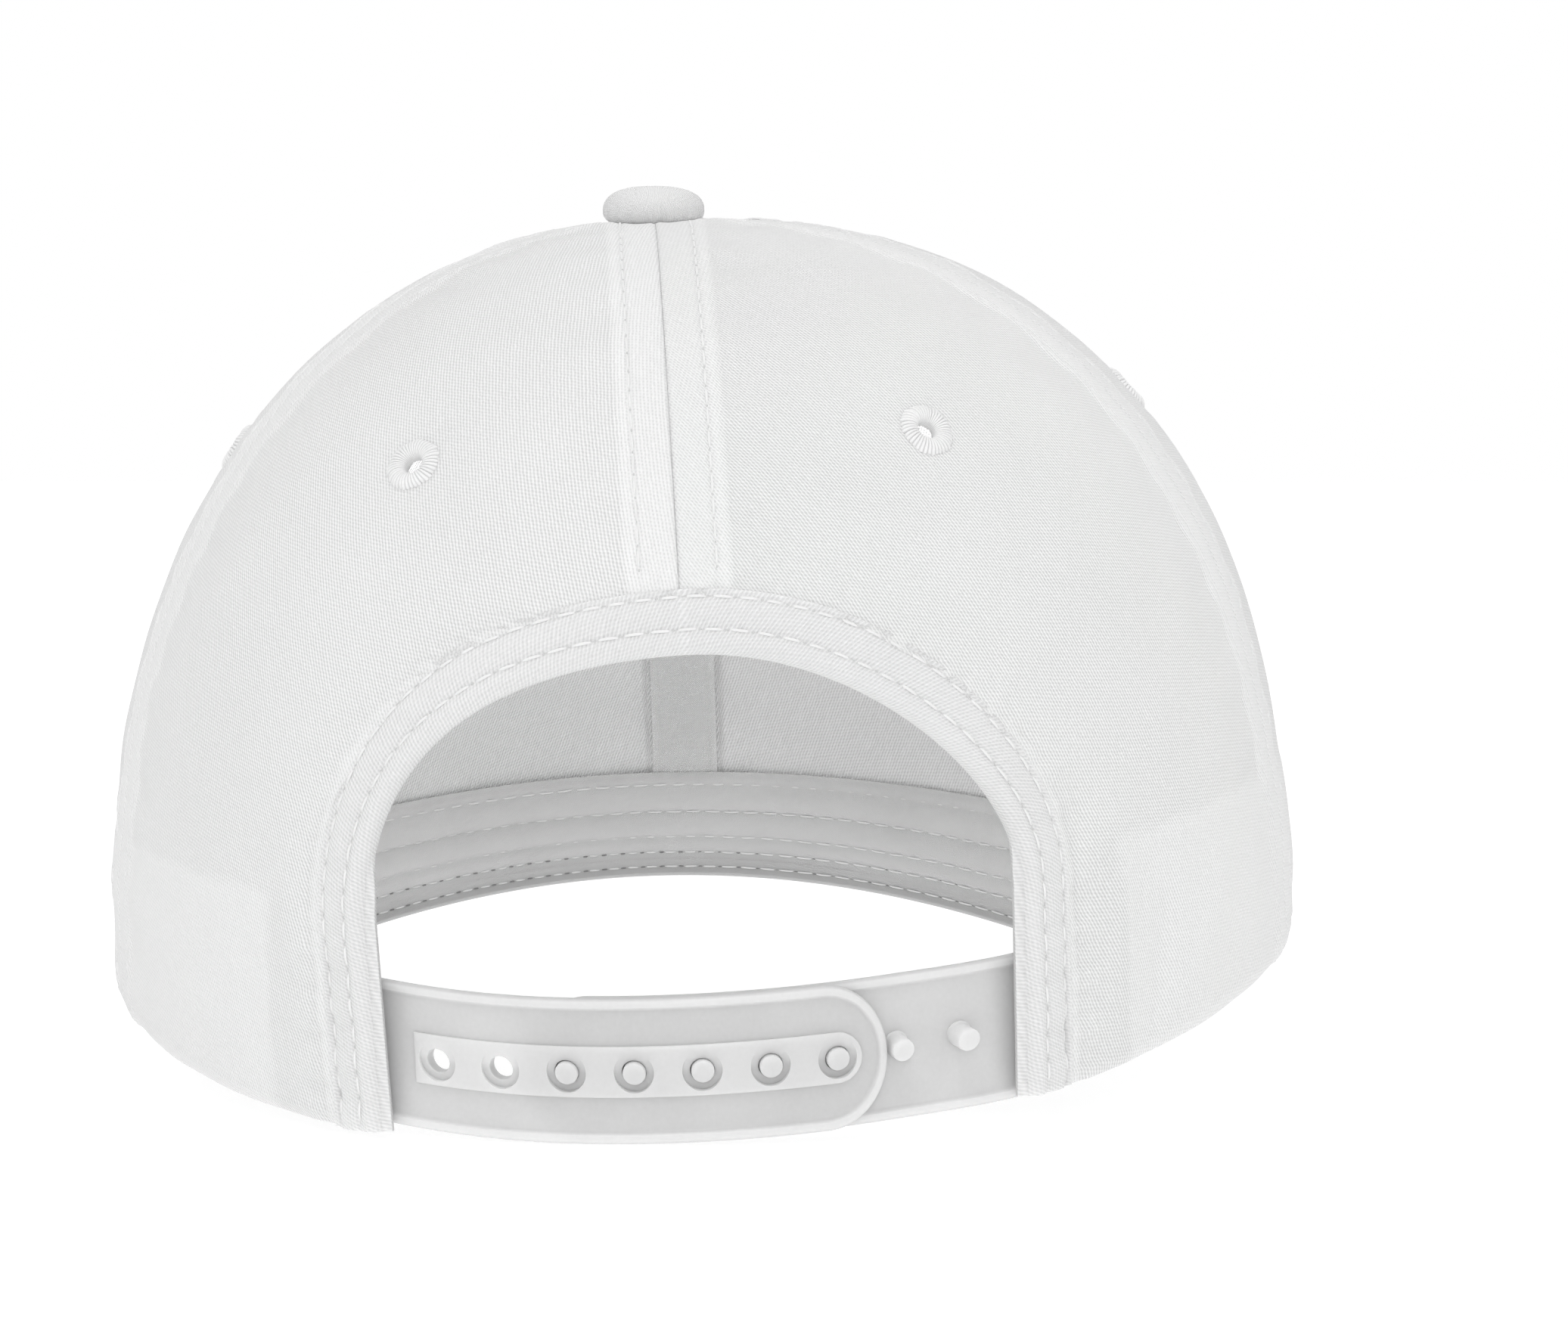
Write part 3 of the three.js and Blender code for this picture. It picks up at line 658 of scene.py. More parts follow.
def rowShares(width):
    share = np.minimum(0.3, panelLook["nearSeam"] / width)
    near = np.linspace(0, 1, panelLook["nearColumns"] + 1)
    middle = np.linspace(0, 1, panelLook["middleColumns"] + 1)[1:-1]
    return np.concatenate([near * share, share + middle * (1 - 2 * share), 1 - near[::-1] * share])


def panelPlaces(name, sign):
    rows = panelLook["rows"]
    t = np.linspace(0, 1, rows)
    t = t + 0.012 * np.sin(2 * np.pi * t)
    if name == "back":
        split = int(rows * 0.45)
        shares, _ = evenShares(0.6, sign, rows - split)
        fromAz, fromDown = openingPlace(np.concatenate([np.zeros(split), shares]), 0.6, sign)
        fromAz = np.abs(fromAz)
        above = np.arange(rows) < split
        fromDown[above] = np.linspace(apexHole, archDown(0.6, sign), split + 1)[:-1]
        fromAz[above] = 0.0
        toDown = blendTo(apexHole, 1, np.interp(np.arange(rows), [0, split, rows - 1], [0, 0.52, 1]))
        toAz = seamAzimuth("rear", toDown)
    else:
        first, last = ("rear", "fore") if name == "side" else ("fore", "front")
        fromDown = toDown = blendTo(apexHole, 1, t)
        fromAz, toAz = seamAzimuth(first, fromDown), seamAzimuth(last, toDown)
    gapFrom = panelLook["apart"] / mmPerDegree(fromAz, fromDown) * (fromAz < 1e-6 if name == "back" else 1)
    start, end = fromAz + gapFrom, toAz - panelLook["apart"] / mmPerDegree(toAz, toDown)
    width = (end - start) * mmPerDegree((start + end) / 2, (fromDown + toDown) / 2)
    across = np.stack([rowShares(w) for w in width])
    az = sign * blendTo(start[:, None], end[:, None], across)
    down = blendTo(fromDown[:, None], toDown[:, None], across)
    if sign < 0:
        az, down = az[:, ::-1], down[:, ::-1]
    return az, down


def weaveMap(az, down, middleAz):
    spread = crownShares(az, down)[1]
    u = np.radians(az - middleAz) * panelLook["mapRadius"] * spread
    v = np.interp(down, meridianDowns, meridianRun)
    a = math.radians(panelLook["twillTurn"])
    return np.stack([u * math.cos(a) + v * math.sin(a), v * math.cos(a) - u * math.sin(a)], -1)


panelSeams = {"back": ("back", "rear"), "side": ("rear", "fore"), "front": ("fore", "front")}
middleAzimuths = {"back": 34.0, "side": 96.0, "front": 150.0}


def panelLift(name, sign, az, down):
    lift, paintedShade = clothLift(az, down, [seamLine(seam, sign) for seam in panelSeams[name]], name == "back")
    seat = crownPoint(sign * eyelet[name], eyelet["level"])
    toEyelet = np.linalg.norm(crownPoint(az, down) - seat, axis=-1)
    turn = np.arctan2(az - sign * eyelet[name], (down - eyelet["level"]) * 100)
    lift = lift - 0.3 * bump(toEyelet, 0, 5.5) + 0.12 * bump(toEyelet, 6.0, 1.4) * np.sin(6 * turn)
    underButton = smooth(down, downAtRadius(14), downAtRadius(7)) * np.maximum(0, np.cos(np.radians(az)))
    return lift - 0.7 * underButton, paintedShade, toEyelet


def makePanel(name, side, sign):
    az, down = panelPlaces(name, sign)
    lift, paintedShade, toEyelet = panelLift(name, sign, az, down)
    weave = weaveMap(az, down, sign * middleAzimuths[name])
    piece = layCloth(f"crown_{name}_{side}", overCrown(az, down, lift)[0], weave, {"paintedShade": paintedShade})
    enterEdit(piece, "DESELECT")
    leaveEdit()
    piece.data.vertices.foreach_set("select", (toEyelet < panelLook["bore"]).reshape(-1))
    bpy.ops.object.mode_set(mode="EDIT")
    bpy.ops.mesh.delete(type="VERT")
    leaveEdit()
    thicken(piece, panelLook, material_offset=1, use_rim=True)
    return finishPiece(piece, "cloth", (twillCloth, liningCloth), f"panel_{name}_{side}")


for name, side, sign in everyPanel:
    makePanel(name, side, sign)
print("crown panels laid")

# hem of the back opening: a bias strip folded over the cloth's edge
hemLook = {
    "outside": 8.0, "inside": 7.2, "stations": 300, "rows": (2.4, 6.8), "wall": 0.45, "narrow": 0.34,
    "crease": 0.42, "lip": 1.0, "lipFrom": 56, "lipTo": 63, "ripple": 6.0,
}


def hemProfile():  # how far out from the edge and how high over the panel: outside, round the fold, inside
    outward = [(hemLook["outside"] - 0.2 - 7.0 * k / 17, 0.42) for k in range(18)]
    outward = [(hemLook["outside"], -0.55)] + outward
    fold = []
    for k in range(1, 10):
        turn = math.pi * k / 10
        fold.append((0.55 - 1.15 * math.sin(turn), -1.15 + 1.55 * math.cos(turn)))
    inward = [(0.7 + (hemLook["inside"] - 0.7) * k / 10, -2.75) for k in range(11)]
    return np.array(outward + fold + inward + [(hemLook["inside"] + 0.2, -2.3)])


def alongHem(count):  # stations from the left corner over the top to the right corner
    left, leftRun = evenShares(0.0, 1, count // 2)
    right, rightRun = evenShares(0.0, -1, count - count // 2 + 1)
    shares = np.concatenate([left[::-1], right[1:]])
    sides = np.concatenate([np.ones(len(left)), -np.ones(len(right) - 1)])
    run = np.concatenate([np.linspace(-leftRun, 0, len(left)), np.linspace(0, rightRun, len(right))[1:]])
    return shares, sides, run


def hemOut(out, run):  # the strip is narrower towards its corners
    return np.minimum(out, 0.8) + np.maximum(0, out - 0.8) * (1 - hemLook["narrow"] * smooth(np.abs(run), 20, 66))


def hemPlace(shares, sides, out):
    out = np.broadcast_to(out, shares.shape)
    az, down = np.empty(len(shares)), np.empty(len(shares))
    for side in (1, -1):
        mask = sides == side
        az[mask], down[mask] = openingPlace(shares[mask], out[mask], side)
    return az, down


def hemHeight(out, run):  # puffed cloth between the two rows of stitches
    first, second = hemLook["rows"]
    lift = 0.38 * np.abs(np.sin(np.pi * np.clip((out - first) / (second - first), 0, 1)))
    lift += 0.3 * bump(out, 1.0, 1.0)
    for row in (first, second):
        dip = bump(out, row, 0.38)
        lift -= dip * (0.16 + 0.08 * np.cos(2 * np.pi * run / outerPitch))
    corner = smooth(np.abs(run), 48, 92)
    crease = hemLook["crease"] * corner * bump(out, second, 0.6)
    lift -= crease * (1 + 0.5 * np.sin(run / 2.1 + 2 * np.sin(run / 5)))
    lift += (0.08 + 0.26 * corner) * wave(run, 7.3, 1.3 * np.sin(run / 9)) * bump(out, 4.6, 2.6)
    return lift + 0.07 * wave(run, outerPitch, 1) * bump(out, 4.2, 3.0)


def makeHem():
    shares, sides, run = alongHem(hemLook["stations"])
    profile = hemProfile()
    points = np.empty((len(profile), len(shares), 3))
    weave = np.empty((len(profile), len(shares), 2))
    facing = np.zeros((len(profile), len(shares)))
    length = runLengths(profile)
    nearCorner = smooth(np.abs(run), hemLook["lipFrom"], hemLook["lipTo"])
    for i, (out, lift) in enumerate(profile):  # 19 rows outside, then the fold, the inside from row 28
        lip = hemLook["lip"] * nearCorner * (i > 22) * np.clip(1 - (out - 0.2) / 3, 0, 1)
        # painted shade: the inside rows near the corners, where the lip shows past the edge, are marked to be
        # painted darker
        facing[i] = nearCorner * (i > 23)
        az, down = hemPlace(shares, sides, (hemOut(out, run) if i < 19 else out) - lip)
        lift = lift + (hemHeight(out, run) if i < 22 else 0.0) + 0.1 * np.sin(run / hemLook["ripple"]) * (i < 19)
        points[i] = overCrown(az, down, lift)[0]
        weave[i] = onBias(run, length[i])
    piece = layCloth("opening_binding", points[:, ::-1], weave[:, ::-1], {"paintedShade": facing[:, ::-1]})
    enterEdit(piece)
    bpy.ops.mesh.normals_make_consistent(inside=False)
    leaveEdit()
    thicken(piece, hemLook)
    return finishPiece(piece, "facing", bindingCloth, "opening_hem")


makeHem()

# sweatband: soft cotton, sewn in rows, with a rolled lower edge
bandLook = {
    "rows": (0.09, 0.24, 0.39, 0.63, 0.89), "around": 300, "levels": 48, "radius": 92, "tall": 30,
    "puff": 0.55, "inset": 1.75, "wall": 0.7,
}


def bandPlace(az, level):
    return downAtHeight(az, blendTo(bandBottom(az), bandTop(az), level))


def bandSurface(az, levels):
    down = bandPlace(az, levels)
    lift = np.full(az.shape, -bandLook["inset"] - bandLook["wall"])
    marks = (0.0,) + bandLook["rows"] + (1.0,)
    for lower, upper in zip(marks[:-1], marks[1:]):
        t = np.clip((levels - lower) / (upper - lower), 0, 1)
        lift -= bandLook["puff"] * np.sin(np.pi * t) ** 0.7 * (upper - lower) * 5
    arc = np.radians(az) * bandLook["radius"]
    for row in bandLook["rows"]:
        lift += 0.12 * np.cos(arc * 2 * np.pi / finePitch) * bump(levels, row, 0.02)
    lift -= 0.14 * wave(arc, 13, 2 * np.sin(arc / 21)) * np.sin(np.pi * levels)
    lift -= 0.5 * bump(levels, 0.0, 0.03)
    lift += 0.6 * smooth(levels, 0.03, 0.0) + 0.75 * smooth(levels, 0.9, 1.0)
    return overCrown(az, down, lift)


def makeBand():
    around = np.linspace(band["end"], 360 - band["end"], bandLook["around"])
    level = np.concatenate([[0.0, 0.012, 0.03], np.linspace(0.05, 0.96, bandLook["levels"]), [0.98, 1.0]])
    az, levels = np.broadcast_arrays(around[None, :], level[:, None])
    weave = np.stack([np.radians(az) * bandLook["radius"], levels * bandLook["tall"]], -1)
    # painted shade: the sweatband is marked to be painted darker towards its rolled lower edge
    shaded = 1 - smooth(levels, 0.0, 0.34)
    piece = layCloth("sweatband_cotton", bandSurface(az, levels)[0][::-1], weave[::-1], {"paintedShade": shaded[::-1]})
    thicken(piece, bandLook, offset=1)
    return finishPiece(piece, "sweatband", bandCloth, "sweatband")


makeBand()

# seam tapes inside the crown
tapeLook = {
    "halfWidth": 5.7, "start": 9.0, "inset": 1.7, "wall": 0.6, "rows": 90, "stitchAt": 4.5, "groove": 0.79,
    "tuck": 0.95, "half": (0.05, 0.3, 0.6, 0.78, 0.8, 0.9, 0.97, 1),
}


def tapeEnd(name):
    if name == "back":
        return archDown(opening["hem"] + 0.7)
    at = seams[name][1]
    return float(downAtHeight(at, bandTop(at) - 1.5))


def tapeTuck(name, down):  # how far the tape's end leans to the cloth, to pass behind the sweatband
    run, last = (np.interp(at, meridianDowns, meridianRun) for at in (down, tapeEnd(name)))
    return tapeLook["tuck"] * smooth(run, last - 5, last - 1.2) * (name != "back")


def makeTape(name, sign, label):
    down = np.linspace(downAtRadius(tapeLook["start"]), tapeEnd(name), tapeLook["rows"])
    middle = seamAzimuth(name, down)
    scale = mmPerDegree(middle, down)
    half = np.minimum(tapeLook["halfWidth"], 16.2 * scale)  # near the apex no wider than 16.2 degrees
    across = np.array([-step for step in tapeLook["half"][::-1]] + [0, *tapeLook["half"]])
    aside = np.abs(across[None])
    az = sign * middle[:, None] + across[None] * (half / scale)[:, None]
    downs = np.broadcast_to(down[:, None], az.shape)
    run = np.interp(downs, meridianDowns, meridianRun)
    lift = -tapeLook["inset"] - 0.12 * (1 - aside) + tapeTuck(name, down)[:, None]
    lift = lift + 0.12 * bump(aside, tapeLook["groove"], 0.07)
    lift = lift - 0.05 * wave(run, finePitch) * bump(aside, tapeLook["groove"], 0.2)
    weave = np.stack([across[None] * half[:, None], run], -1)
    piece = layCloth(f"seam_tape_{label}", overCrown(az, downs, lift)[0], weave)
    thicken(piece, tapeLook)
    return finishPiece(piece, "tape", tapeCloth, f"tape_{label}")


makeTape("back", 1, "back")
makeTape("front", 1, "front")
for side, sign in bothSides:
    for name in ("rear", "fore"):
        makeTape(name, sign, f"{name}_{side}")
print("hem, sweatband and tapes laid")

# peak: a curved board under twill, with eight rows of stitching
peakLook = {
    "around": 150, "across": 34, "edgeSteps": 8, "edgeRound": 1.4,
    "stitchRows": (4.0, 10.0, 16.0, 22.0, 28.0, 34.0, 40.0, 46.0), "lastRow": 58.0,
}


def peakEdge(count):  # shares of the peak's outline, an even step apart in millimetres
    fine = np.linspace(-1, 1, 2000)
    run = runLengths(np.stack(boardOutline(fine), -1))
    return np.interp(np.linspace(0, run[-1], count), run, fine)


def peakPlan(shares, across):  # across 0 at the crown, 1 at the peak's edge
    edgeX, edgeY = boardOutline(shares)
    rootX, rootY = rimPlan(180 - shares * (180 - board["end"]), crown["wall"] + 0.9)
    return blendTo(rootX, edgeX, across), blendTo(rootY, edgeY, across)


peakShares = peakEdge(peakLook["around"])
peakLine = np.stack([*boardOutline(np.linspace(-1, 1, 400)), np.zeros(400)], -1)


def peakRelief(x, y):
    plan = np.stack([x, y, np.zeros_like(x)], -1)
    toEdge, along = distanceTo(plan, peakLine)
    lift = np.zeros(x.shape)
    rows = (0.0,) + peakLook["stitchRows"] + (peakLook["lastRow"],)
    for near, far in zip(rows[:-1], rows[1:]):
        lift += 0.16 * np.sin(np.pi * np.clip((toEdge - near) / (far - near), 0, 1))
    for row in peakLook["stitchRows"]:
        lift -= bump(toEdge, row, 0.5) * (0.1 + 0.05 * np.cos(along * 2 * np.pi / finePitch))
    return lift


def peakSurface(x, y, above):  # above is 1 for the upper face and -1 for the lower one
    half = board["thick"] / 2
    return np.stack([x, y, boardBottom(x, y) + half + above * (half - 0.1 + peakRelief(x, y) * 0.9)], -1)


def makePeak():
    across = 1 - (1 - np.linspace(0, 1, peakLook["across"])) ** 1.25
    half = board["thick"] / 2
    places = []
    for above in (1, -1):
        x, y = peakPlan(peakShares[:, None], across[None, :])
        edgeX, edgeY = boardOutline(peakShares)
        inward = np.stack([x[:, 0] - edgeX, y[:, 0] - edgeY], -1)
        inward /= np.linalg.norm(inward, axis=1, keepdims=True)
        x = x + inward[:, 0:1] * peakLook["edgeRound"] * across[None] ** 8
        y = y + inward[:, 1:2] * peakLook["edgeRound"] * across[None] ** 8
        places.append(peakSurface(x, y, above))
    rim = []
    for k in range(1, peakLook["edgeSteps"]):
        turn = math.pi * k / peakLook["edgeSteps"]
        x = edgeX + inward[:, 0] * peakLook["edgeRound"] * (1 - math.sin(turn))
        y = edgeY + inward[:, 1] * peakLook["edgeRound"] * (1 - math.sin(turn))
        rim.append(np.stack([x, y, boardBottom(x, y) + half + (half - 0.1) * math.cos(turn)], -1))
    upper, lower = places[0][:, 0], places[1][:, 0]
    root = [lower * 0.75 + upper * 0.25, lower * 0.25 + upper * 0.75, upper]
    net = np.concatenate([places[0], np.stack(rim, 1), places[1][:, ::-1], np.stack(root, 1)], 1)
    piece = layCloth("peak_twill", net, onBias(net[..., 0], net[..., 1]))
    enterEdit(piece)
    bpy.ops.mesh.remove_doubles(threshold=0.00001)
    bpy.ops.mesh.select_all(action="DESELECT")
    bpy.ops.mesh.select_non_manifold(
        extend=False, use_wire=False, use_multi_face=False, use_non_contiguous=False, use_verts=False,
    )
    bpy.ops.mesh.edge_face_add()
    bpy.ops.mesh.select_all(action="SELECT")
    bpy.ops.mesh.normals_make_consistent(inside=False)
    leaveEdit()
    return finishPiece(piece, "peak_cloth", boardCloth, "peak")


makePeak()
print("peak made")

# top button: a disc under cloth, gathered beneath
buttonLook = {
    "around": 96, "rings": 40, "gathers": 22, "depth": 0.16, "tilt": 0.07, "middle": 1.5, "rise": 3.6, "fall": 3.0,
}


def makeButton():
    clearSelection()
    bpy.ops.mesh.primitive_uv_sphere_add(segments=buttonLook["around"], ring_count=buttonLook["rings"], radius=1)
    piece = bpy.context.object
    piece.name = piece.data.name = "top_button_cloth"
    across, aside, up = readPlaces(piece).astype(float).T
    turn = np.arctan2(aside, across)
    ring = np.hypot(across, aside)
    radius = button["radius"] * np.sin(np.arcsin(np.clip(ring, 0, 1))) ** 0.82
    height = buttonLook["middle"] + np.where(up > 0, buttonLook["rise"], -buttonLook["fall"]) * np.abs(up) ** 0.8
    skirt = smooth(up, 0.55, -0.35)
    gather = np.sin(buttonLook["gathers"] * turn + 1.7 * np.sin(3 * turn)) + 0.5 * np.sin(13 * turn + 1)
    radius = radius + skirt * buttonLook["depth"] * gather * ring
    radius = np.minimum(radius, button["radius"] + 0.15)
    seat = crownPoint(0.0, 0.0) + np.array([0, 0, crown["gap"]])
    height = height - radius * np.sin(turn) * buttonLook["tilt"]
    places = np.stack([radius * np.cos(turn), radius * np.sin(turn), height], -1)
    setPlaces(piece, places + seat)
    setWeave(piece, places[:, :2] * (1 + 0.25 * (button["height"] - places[:, 2:3])))
    return finishPiece(piece, "button_cloth", litButtonTwill, "top_button")


makeButton()

# snap strap: two moulded halves, laid flat first, then curved along the opening
strapLook = {
    "front": (
        (0.0, -0.6), (0.07, -0.22), (0.22, 0.08), (0.45, 0.28), (0.8, 0.36), (1.25, 0.34), (1.5, 0.14),
        (1.7, 0.02), (2.0, 0.0), (3.4, 0.0), (4.9, 0.0), (6.5, 0.0), (8.2, 0.0),
    ),
    "back": ((0.0, -1.2), (0.1, -1.55), (0.35, -1.75), (0.8, -1.8), (3.0, -1.8), (6.0, -1.8)),
    "strip": ((0.0, -0.5), (0.0, 0.3), (0.06, 0.44), (0.2, 0.5), (1.0, 0.5), (2.2, 0.5)),
    "stripBack": ((0.0, -0.9), (1.5, -0.9)),
    "hole": (
        (0.0, -4.0), (1.68, -4.0), (1.68, 0.1), (1.76, 0.16), (2.7, 0.16), (2.72, 0.3), (2.78, 2.0), (0.0, 2.0),
    ),
    "peg": (
        (0.0, -0.9), (1.9, -0.9), (1.9, -0.02), (1.72, 0.08), (1.6, 0.3), (1.58, 1.6), (1.58, 2.8), (1.5, 3.0),
        (1.28, 3.1), (0.6, 3.13), (0.0, 3.14),
    ),
    "reach": 8.9, "step": 1.4, "lipAt": 46.3, "lip": 0.3, "lipSteps": (-0.9, -0.45, -0.2, 0.0, 0.2, 0.45, 0.9),
    "tilt": 11.0, "around": 36, "pegRise": 0.36, "pegShift": 0.06,
}
strapInset = crown["wall"] + 2 * crown["layer"] + 0.8 + strap["lean"]
lastHole = strap["first"] - (strap["holes"] - 1) * strap["pitch"]
firstPeg = strap["first"] - strap["empty"] * strap["pitch"]
holeTip = lastHole - strap["tipLead"]
strapEnd = opening["halfWidth"] + strap["tuck"]


def pegInset(along):
    under = strapInset + strap["thick"] + crown["gap"]
    return blendTo(strapInset, under, smooth(along, -opening["halfWidth"], holeTip - 1))


# places along, out and up; rings go inwards from the outline and close on the bar's middle line
def barNet(name, far, tip, half, reach, front, back):
    way = math.copysign(1, tip - far)
    start = tip - way * reach
    straight = np.linspace(far, start, int(abs(start - far) / strapLook["step"]) + 1)
    if abs(far) > strapLook["lipAt"]:
        lipPlaces = -way * (strapLook["lipAt"] + np.array(strapLook["lipSteps"]))
        straight = np.array(sorted(np.concatenate([straight, lipPlaces]), reverse=way < 0))
    arc = np.radians(np.linspace(90, -90, 37)[1:-1])
    outline = [(far, u) for u in half * np.linspace(-1, 1, 9)[1:-1]] + [(a, half) for a in straight]
    outline += [(start + way * reach * math.cos(t), half * math.sin(t)) for t in arc]
    outline += [(a, -half) for a in straight[::-1]]
    edge = np.array(outline + outline[:1])
    middle = np.stack([np.clip(edge[:, 0], *sorted((far + way * half, start))), np.zeros(len(edge))], -1)
    rings = [(half, front[-1][1])] + list(front[::-1]) + list(back) + [(half, back[-1][1])]
    net = np.empty((len(rings), len(edge), 3))
    for i, (inward, out) in enumerate(rings):
        place = edge + (middle - edge) * (inward / half)
        pastLip = np.abs(place[:, 0]) - strapLook["lipAt"]
        relief = strapLook["lip"] * (bump(pastLip, 0, 0.3) - 0.4 * smooth(pastLip, 0, 0.8))
        relief *= smooth(inward, 1.6, 2.4) * (i <= len(front))
        net[i] = np.stack([place[:, 0], out + relief, place[:, 1]], -1)
    return closeNet(layCloth(name, net))


# a profile of radius and height turned about the strap's outward side at each place, leaning down a little
def turnedNet(name, profile, places, above=0.0):
    around = np.linspace(0, 2 * math.pi, strapLook["around"] + 1)
    radius, height = np.array(profile).T
    across, up = radius[:, None] * np.cos(around), radius[:, None] * np.sin(around)
    a = math.radians(strapLook["tilt"])
    out = height[:, None] * math.cos(a) + up * math.sin(a)
    up = up * math.cos(a) - height[:, None] * math.sin(a) + above
    pieces = [closeNet(layCloth(name, np.stack([across + along, out, up], -1))) for along in places]
    for piece in pieces:
        piece.select_set(True)
    bpy.context.view_layer.objects.active = pieces[0]
    bpy.ops.object.join()
    return bpy.context.object


def combine(piece, other, operation):
    applyModifier(piece, "BOOLEAN", operation=operation, object=other, solver="EXACT")
    bpy.data.objects.remove(other)


def curveStrap(piece, insetAt):
    along, out, up = (readPlaces(piece).astype(float) * 1000 - origin).T
    setMark(piece, "raisedLight", smooth(out, 0.08, 0.28))  # painted light: the plastic is painted lighter where it stands out from the strap's face
    x, y = rimPlan(np.degrees(along / (crown["halfWidth"] - strapInset)), insetAt(along) - out)
    z = strapLift + strap["height"] / 2 + strapSag(x) + up
    setPlaces(piece, rolled(x, y, z, crown["roll"]))


def strapBar(name, far, tip):
    return barNet(name, far, tip, strap["height"] / 2, strapLook["reach"], strapLook["front"], strapLook["back"])


def makeHoleStrap():
    half = strap["stripHeight"] / 2
    ends = strap["first"] + half, lastHole - half
    piece = strapBar("snap_strap_holes", strapEnd, holeTip)
    combine(piece, barNet("holeStrip", *ends, half, half, strapLook["strip"], strapLook["stripBack"]), "UNION")
    places = strap["first"] - strap["pitch"] * np.arange(strap["holes"])
    combine(piece, turnedNet("holeCutters", strapLook["hole"], places), "DIFFERENCE")
    curveStrap(piece, lambda along: np.full_like(along, strapInset))
    return finishPiece(piece, "strap_plastic", milkyPlastic, "strap_holes", sharp=32)


def makePegStrap():
    piece = strapBar("snap_strap_pegs", -strapEnd, firstPeg + strap["pegTipLead"])
    places = firstPeg - strap["pitch"] * np.arange(strap["holes"]) - strapLook["pegShift"]
    combine(piece, turnedNet("strapPegs", strapLook["peg"], places, strapLook["pegRise"]), "UNION")
    curveStrap(piece, pegInset)
    return finishPiece(piece, "strap_plastic", milkyPlastic, "strap_pegs", sharp=32)


makeHoleStrap()
makePegStrap()
print("snap strap moulded")

# satin eyelets: threads laid side by side round a small ring, and a flatter ring inside the crown
eyeletLook = {
    "threads": 40, "steps": 6, "ridge": 0.2, "uneven": 0.16,
    "profile": (
        (3.3, -1.35), (3.2, -1.7), (2.5, -1.85), (1.85, -1.7), (1.45, -1.3), (1.32, -0.7), (1.38, -0.1),
        (1.6, 0.3), (2.0, 0.58), (2.6, 0.72), (3.2, 0.62), (3.7, 0.36), (4.05, 0.02), (4.15, -0.4), (3.7, -0.5),
    ),
}


def makeEyelet(name, side, sign):
    count = eyeletLook["threads"] * eyeletLook["steps"]
    around = np.linspace(0, 2 * math.pi, count + 1)
    radius, height = np.array(eyeletLook["profile"]).T
    chance = np.random.default_rng(int(eyelet[name]) + (sign > 0))
    perThread = np.repeat(chance.uniform(-1, 1, eyeletLook["threads"]), eyeletLook["steps"])
    perThread = np.append(perThread, perThread[0])
    thread = np.abs(np.sin(around * eyeletLook["threads"] / 2)) ** 0.7
    radius, height = radius[:, None], height[:, None]
    shown = smooth(height, -0.5, 0.2)
    reach = radius + eyeletLook["uneven"] * perThread * smooth(radius, 3.4, 4.0) + 0.12 * (thread - 0.5) * shown
    rise = height + eyeletLook["ridge"] * (thread - 0.6) * (0.4 + 0.6 * shown) + 0.05 * perThread * shown
    turn = around + 0.03 * (radius - 2.5)
    atAz, atDown = sign * eyelet[name], eyelet["level"]
    wide = mmPerDegree(np.array(atAz), np.array(atDown))
    tall = np.linalg.norm(crownPoint(atAz, atDown + 0.005) - crownPoint(atAz, atDown - 0.005)) / 0.01

    def ringPlace(radius, turn):
        return atAz + radius * np.cos(turn) / wide, atDown + radius * np.sin(turn) / tall

    ground = panelLift(name, sign, *ringPlace(eyelet["radius"], around))[0]
    # the threads' crests, for the painted shade between them
    crest = np.broadcast_to(thread, reach.shape)
    points = overCrown(*ringPlace(reach, turn), ground + rise)[0]
    piece = layCloth(f"eyelet_thread_{name}_{side}", points, marks={"crest": crest})
    closeNet(piece)
    return finishPiece(piece, "eyelet_thread", satinThread, f"eyelet_{name}_{side}")


for name, side, sign in everyPanel:
    makeEyelet(name, side, sign)
print("eyelets stitched")

# topstitching: one stitch modelled, then laid in rows
sewing = {
    "crown": {"pitch": outerPitch, "length": 2.9, "thick": 0.18, "sink": 0.09},
    "hem": {"pitch": outerPitch, "length": 2.9, "thick": 0.22, "sink": 0.05},
    "band": {"pitch": finePitch, "length": 2.8, "thick": 0.17, "sink": 0.02},
    "tape": {"pitch": finePitch, "length": 2.8, "thick": 0.16, "sink": 0.02},
    "peak": {"pitch": finePitch, "length": 2.8, "thick": 0.18, "sink": 0.02},
}


def modelStitch():  # a rounded length of thread, long in x, with its thickness of 1 in y and z
    clearSelection()
    bpy.ops.mesh.primitive_uv_sphere_add(segments=6, ring_count=6, radius=1)
    ball = bpy.context.object
    y, z, x = readPlaces(ball).T
    ring = np.sqrt(np.clip(1 - x * x, 0, 1))
    full = np.sqrt(np.clip(1 - np.abs(x) ** 5, 0, 1)) / np.maximum(ring, 1e-3)
    faces = [tuple(face.vertices) for face in ball.data.polygons]
    bpy.data.objects.remove(ball)
    return np.stack([x, y * full, z * full], -1).astype(float), faces


stitchShape, stitchFaces = modelStitch()


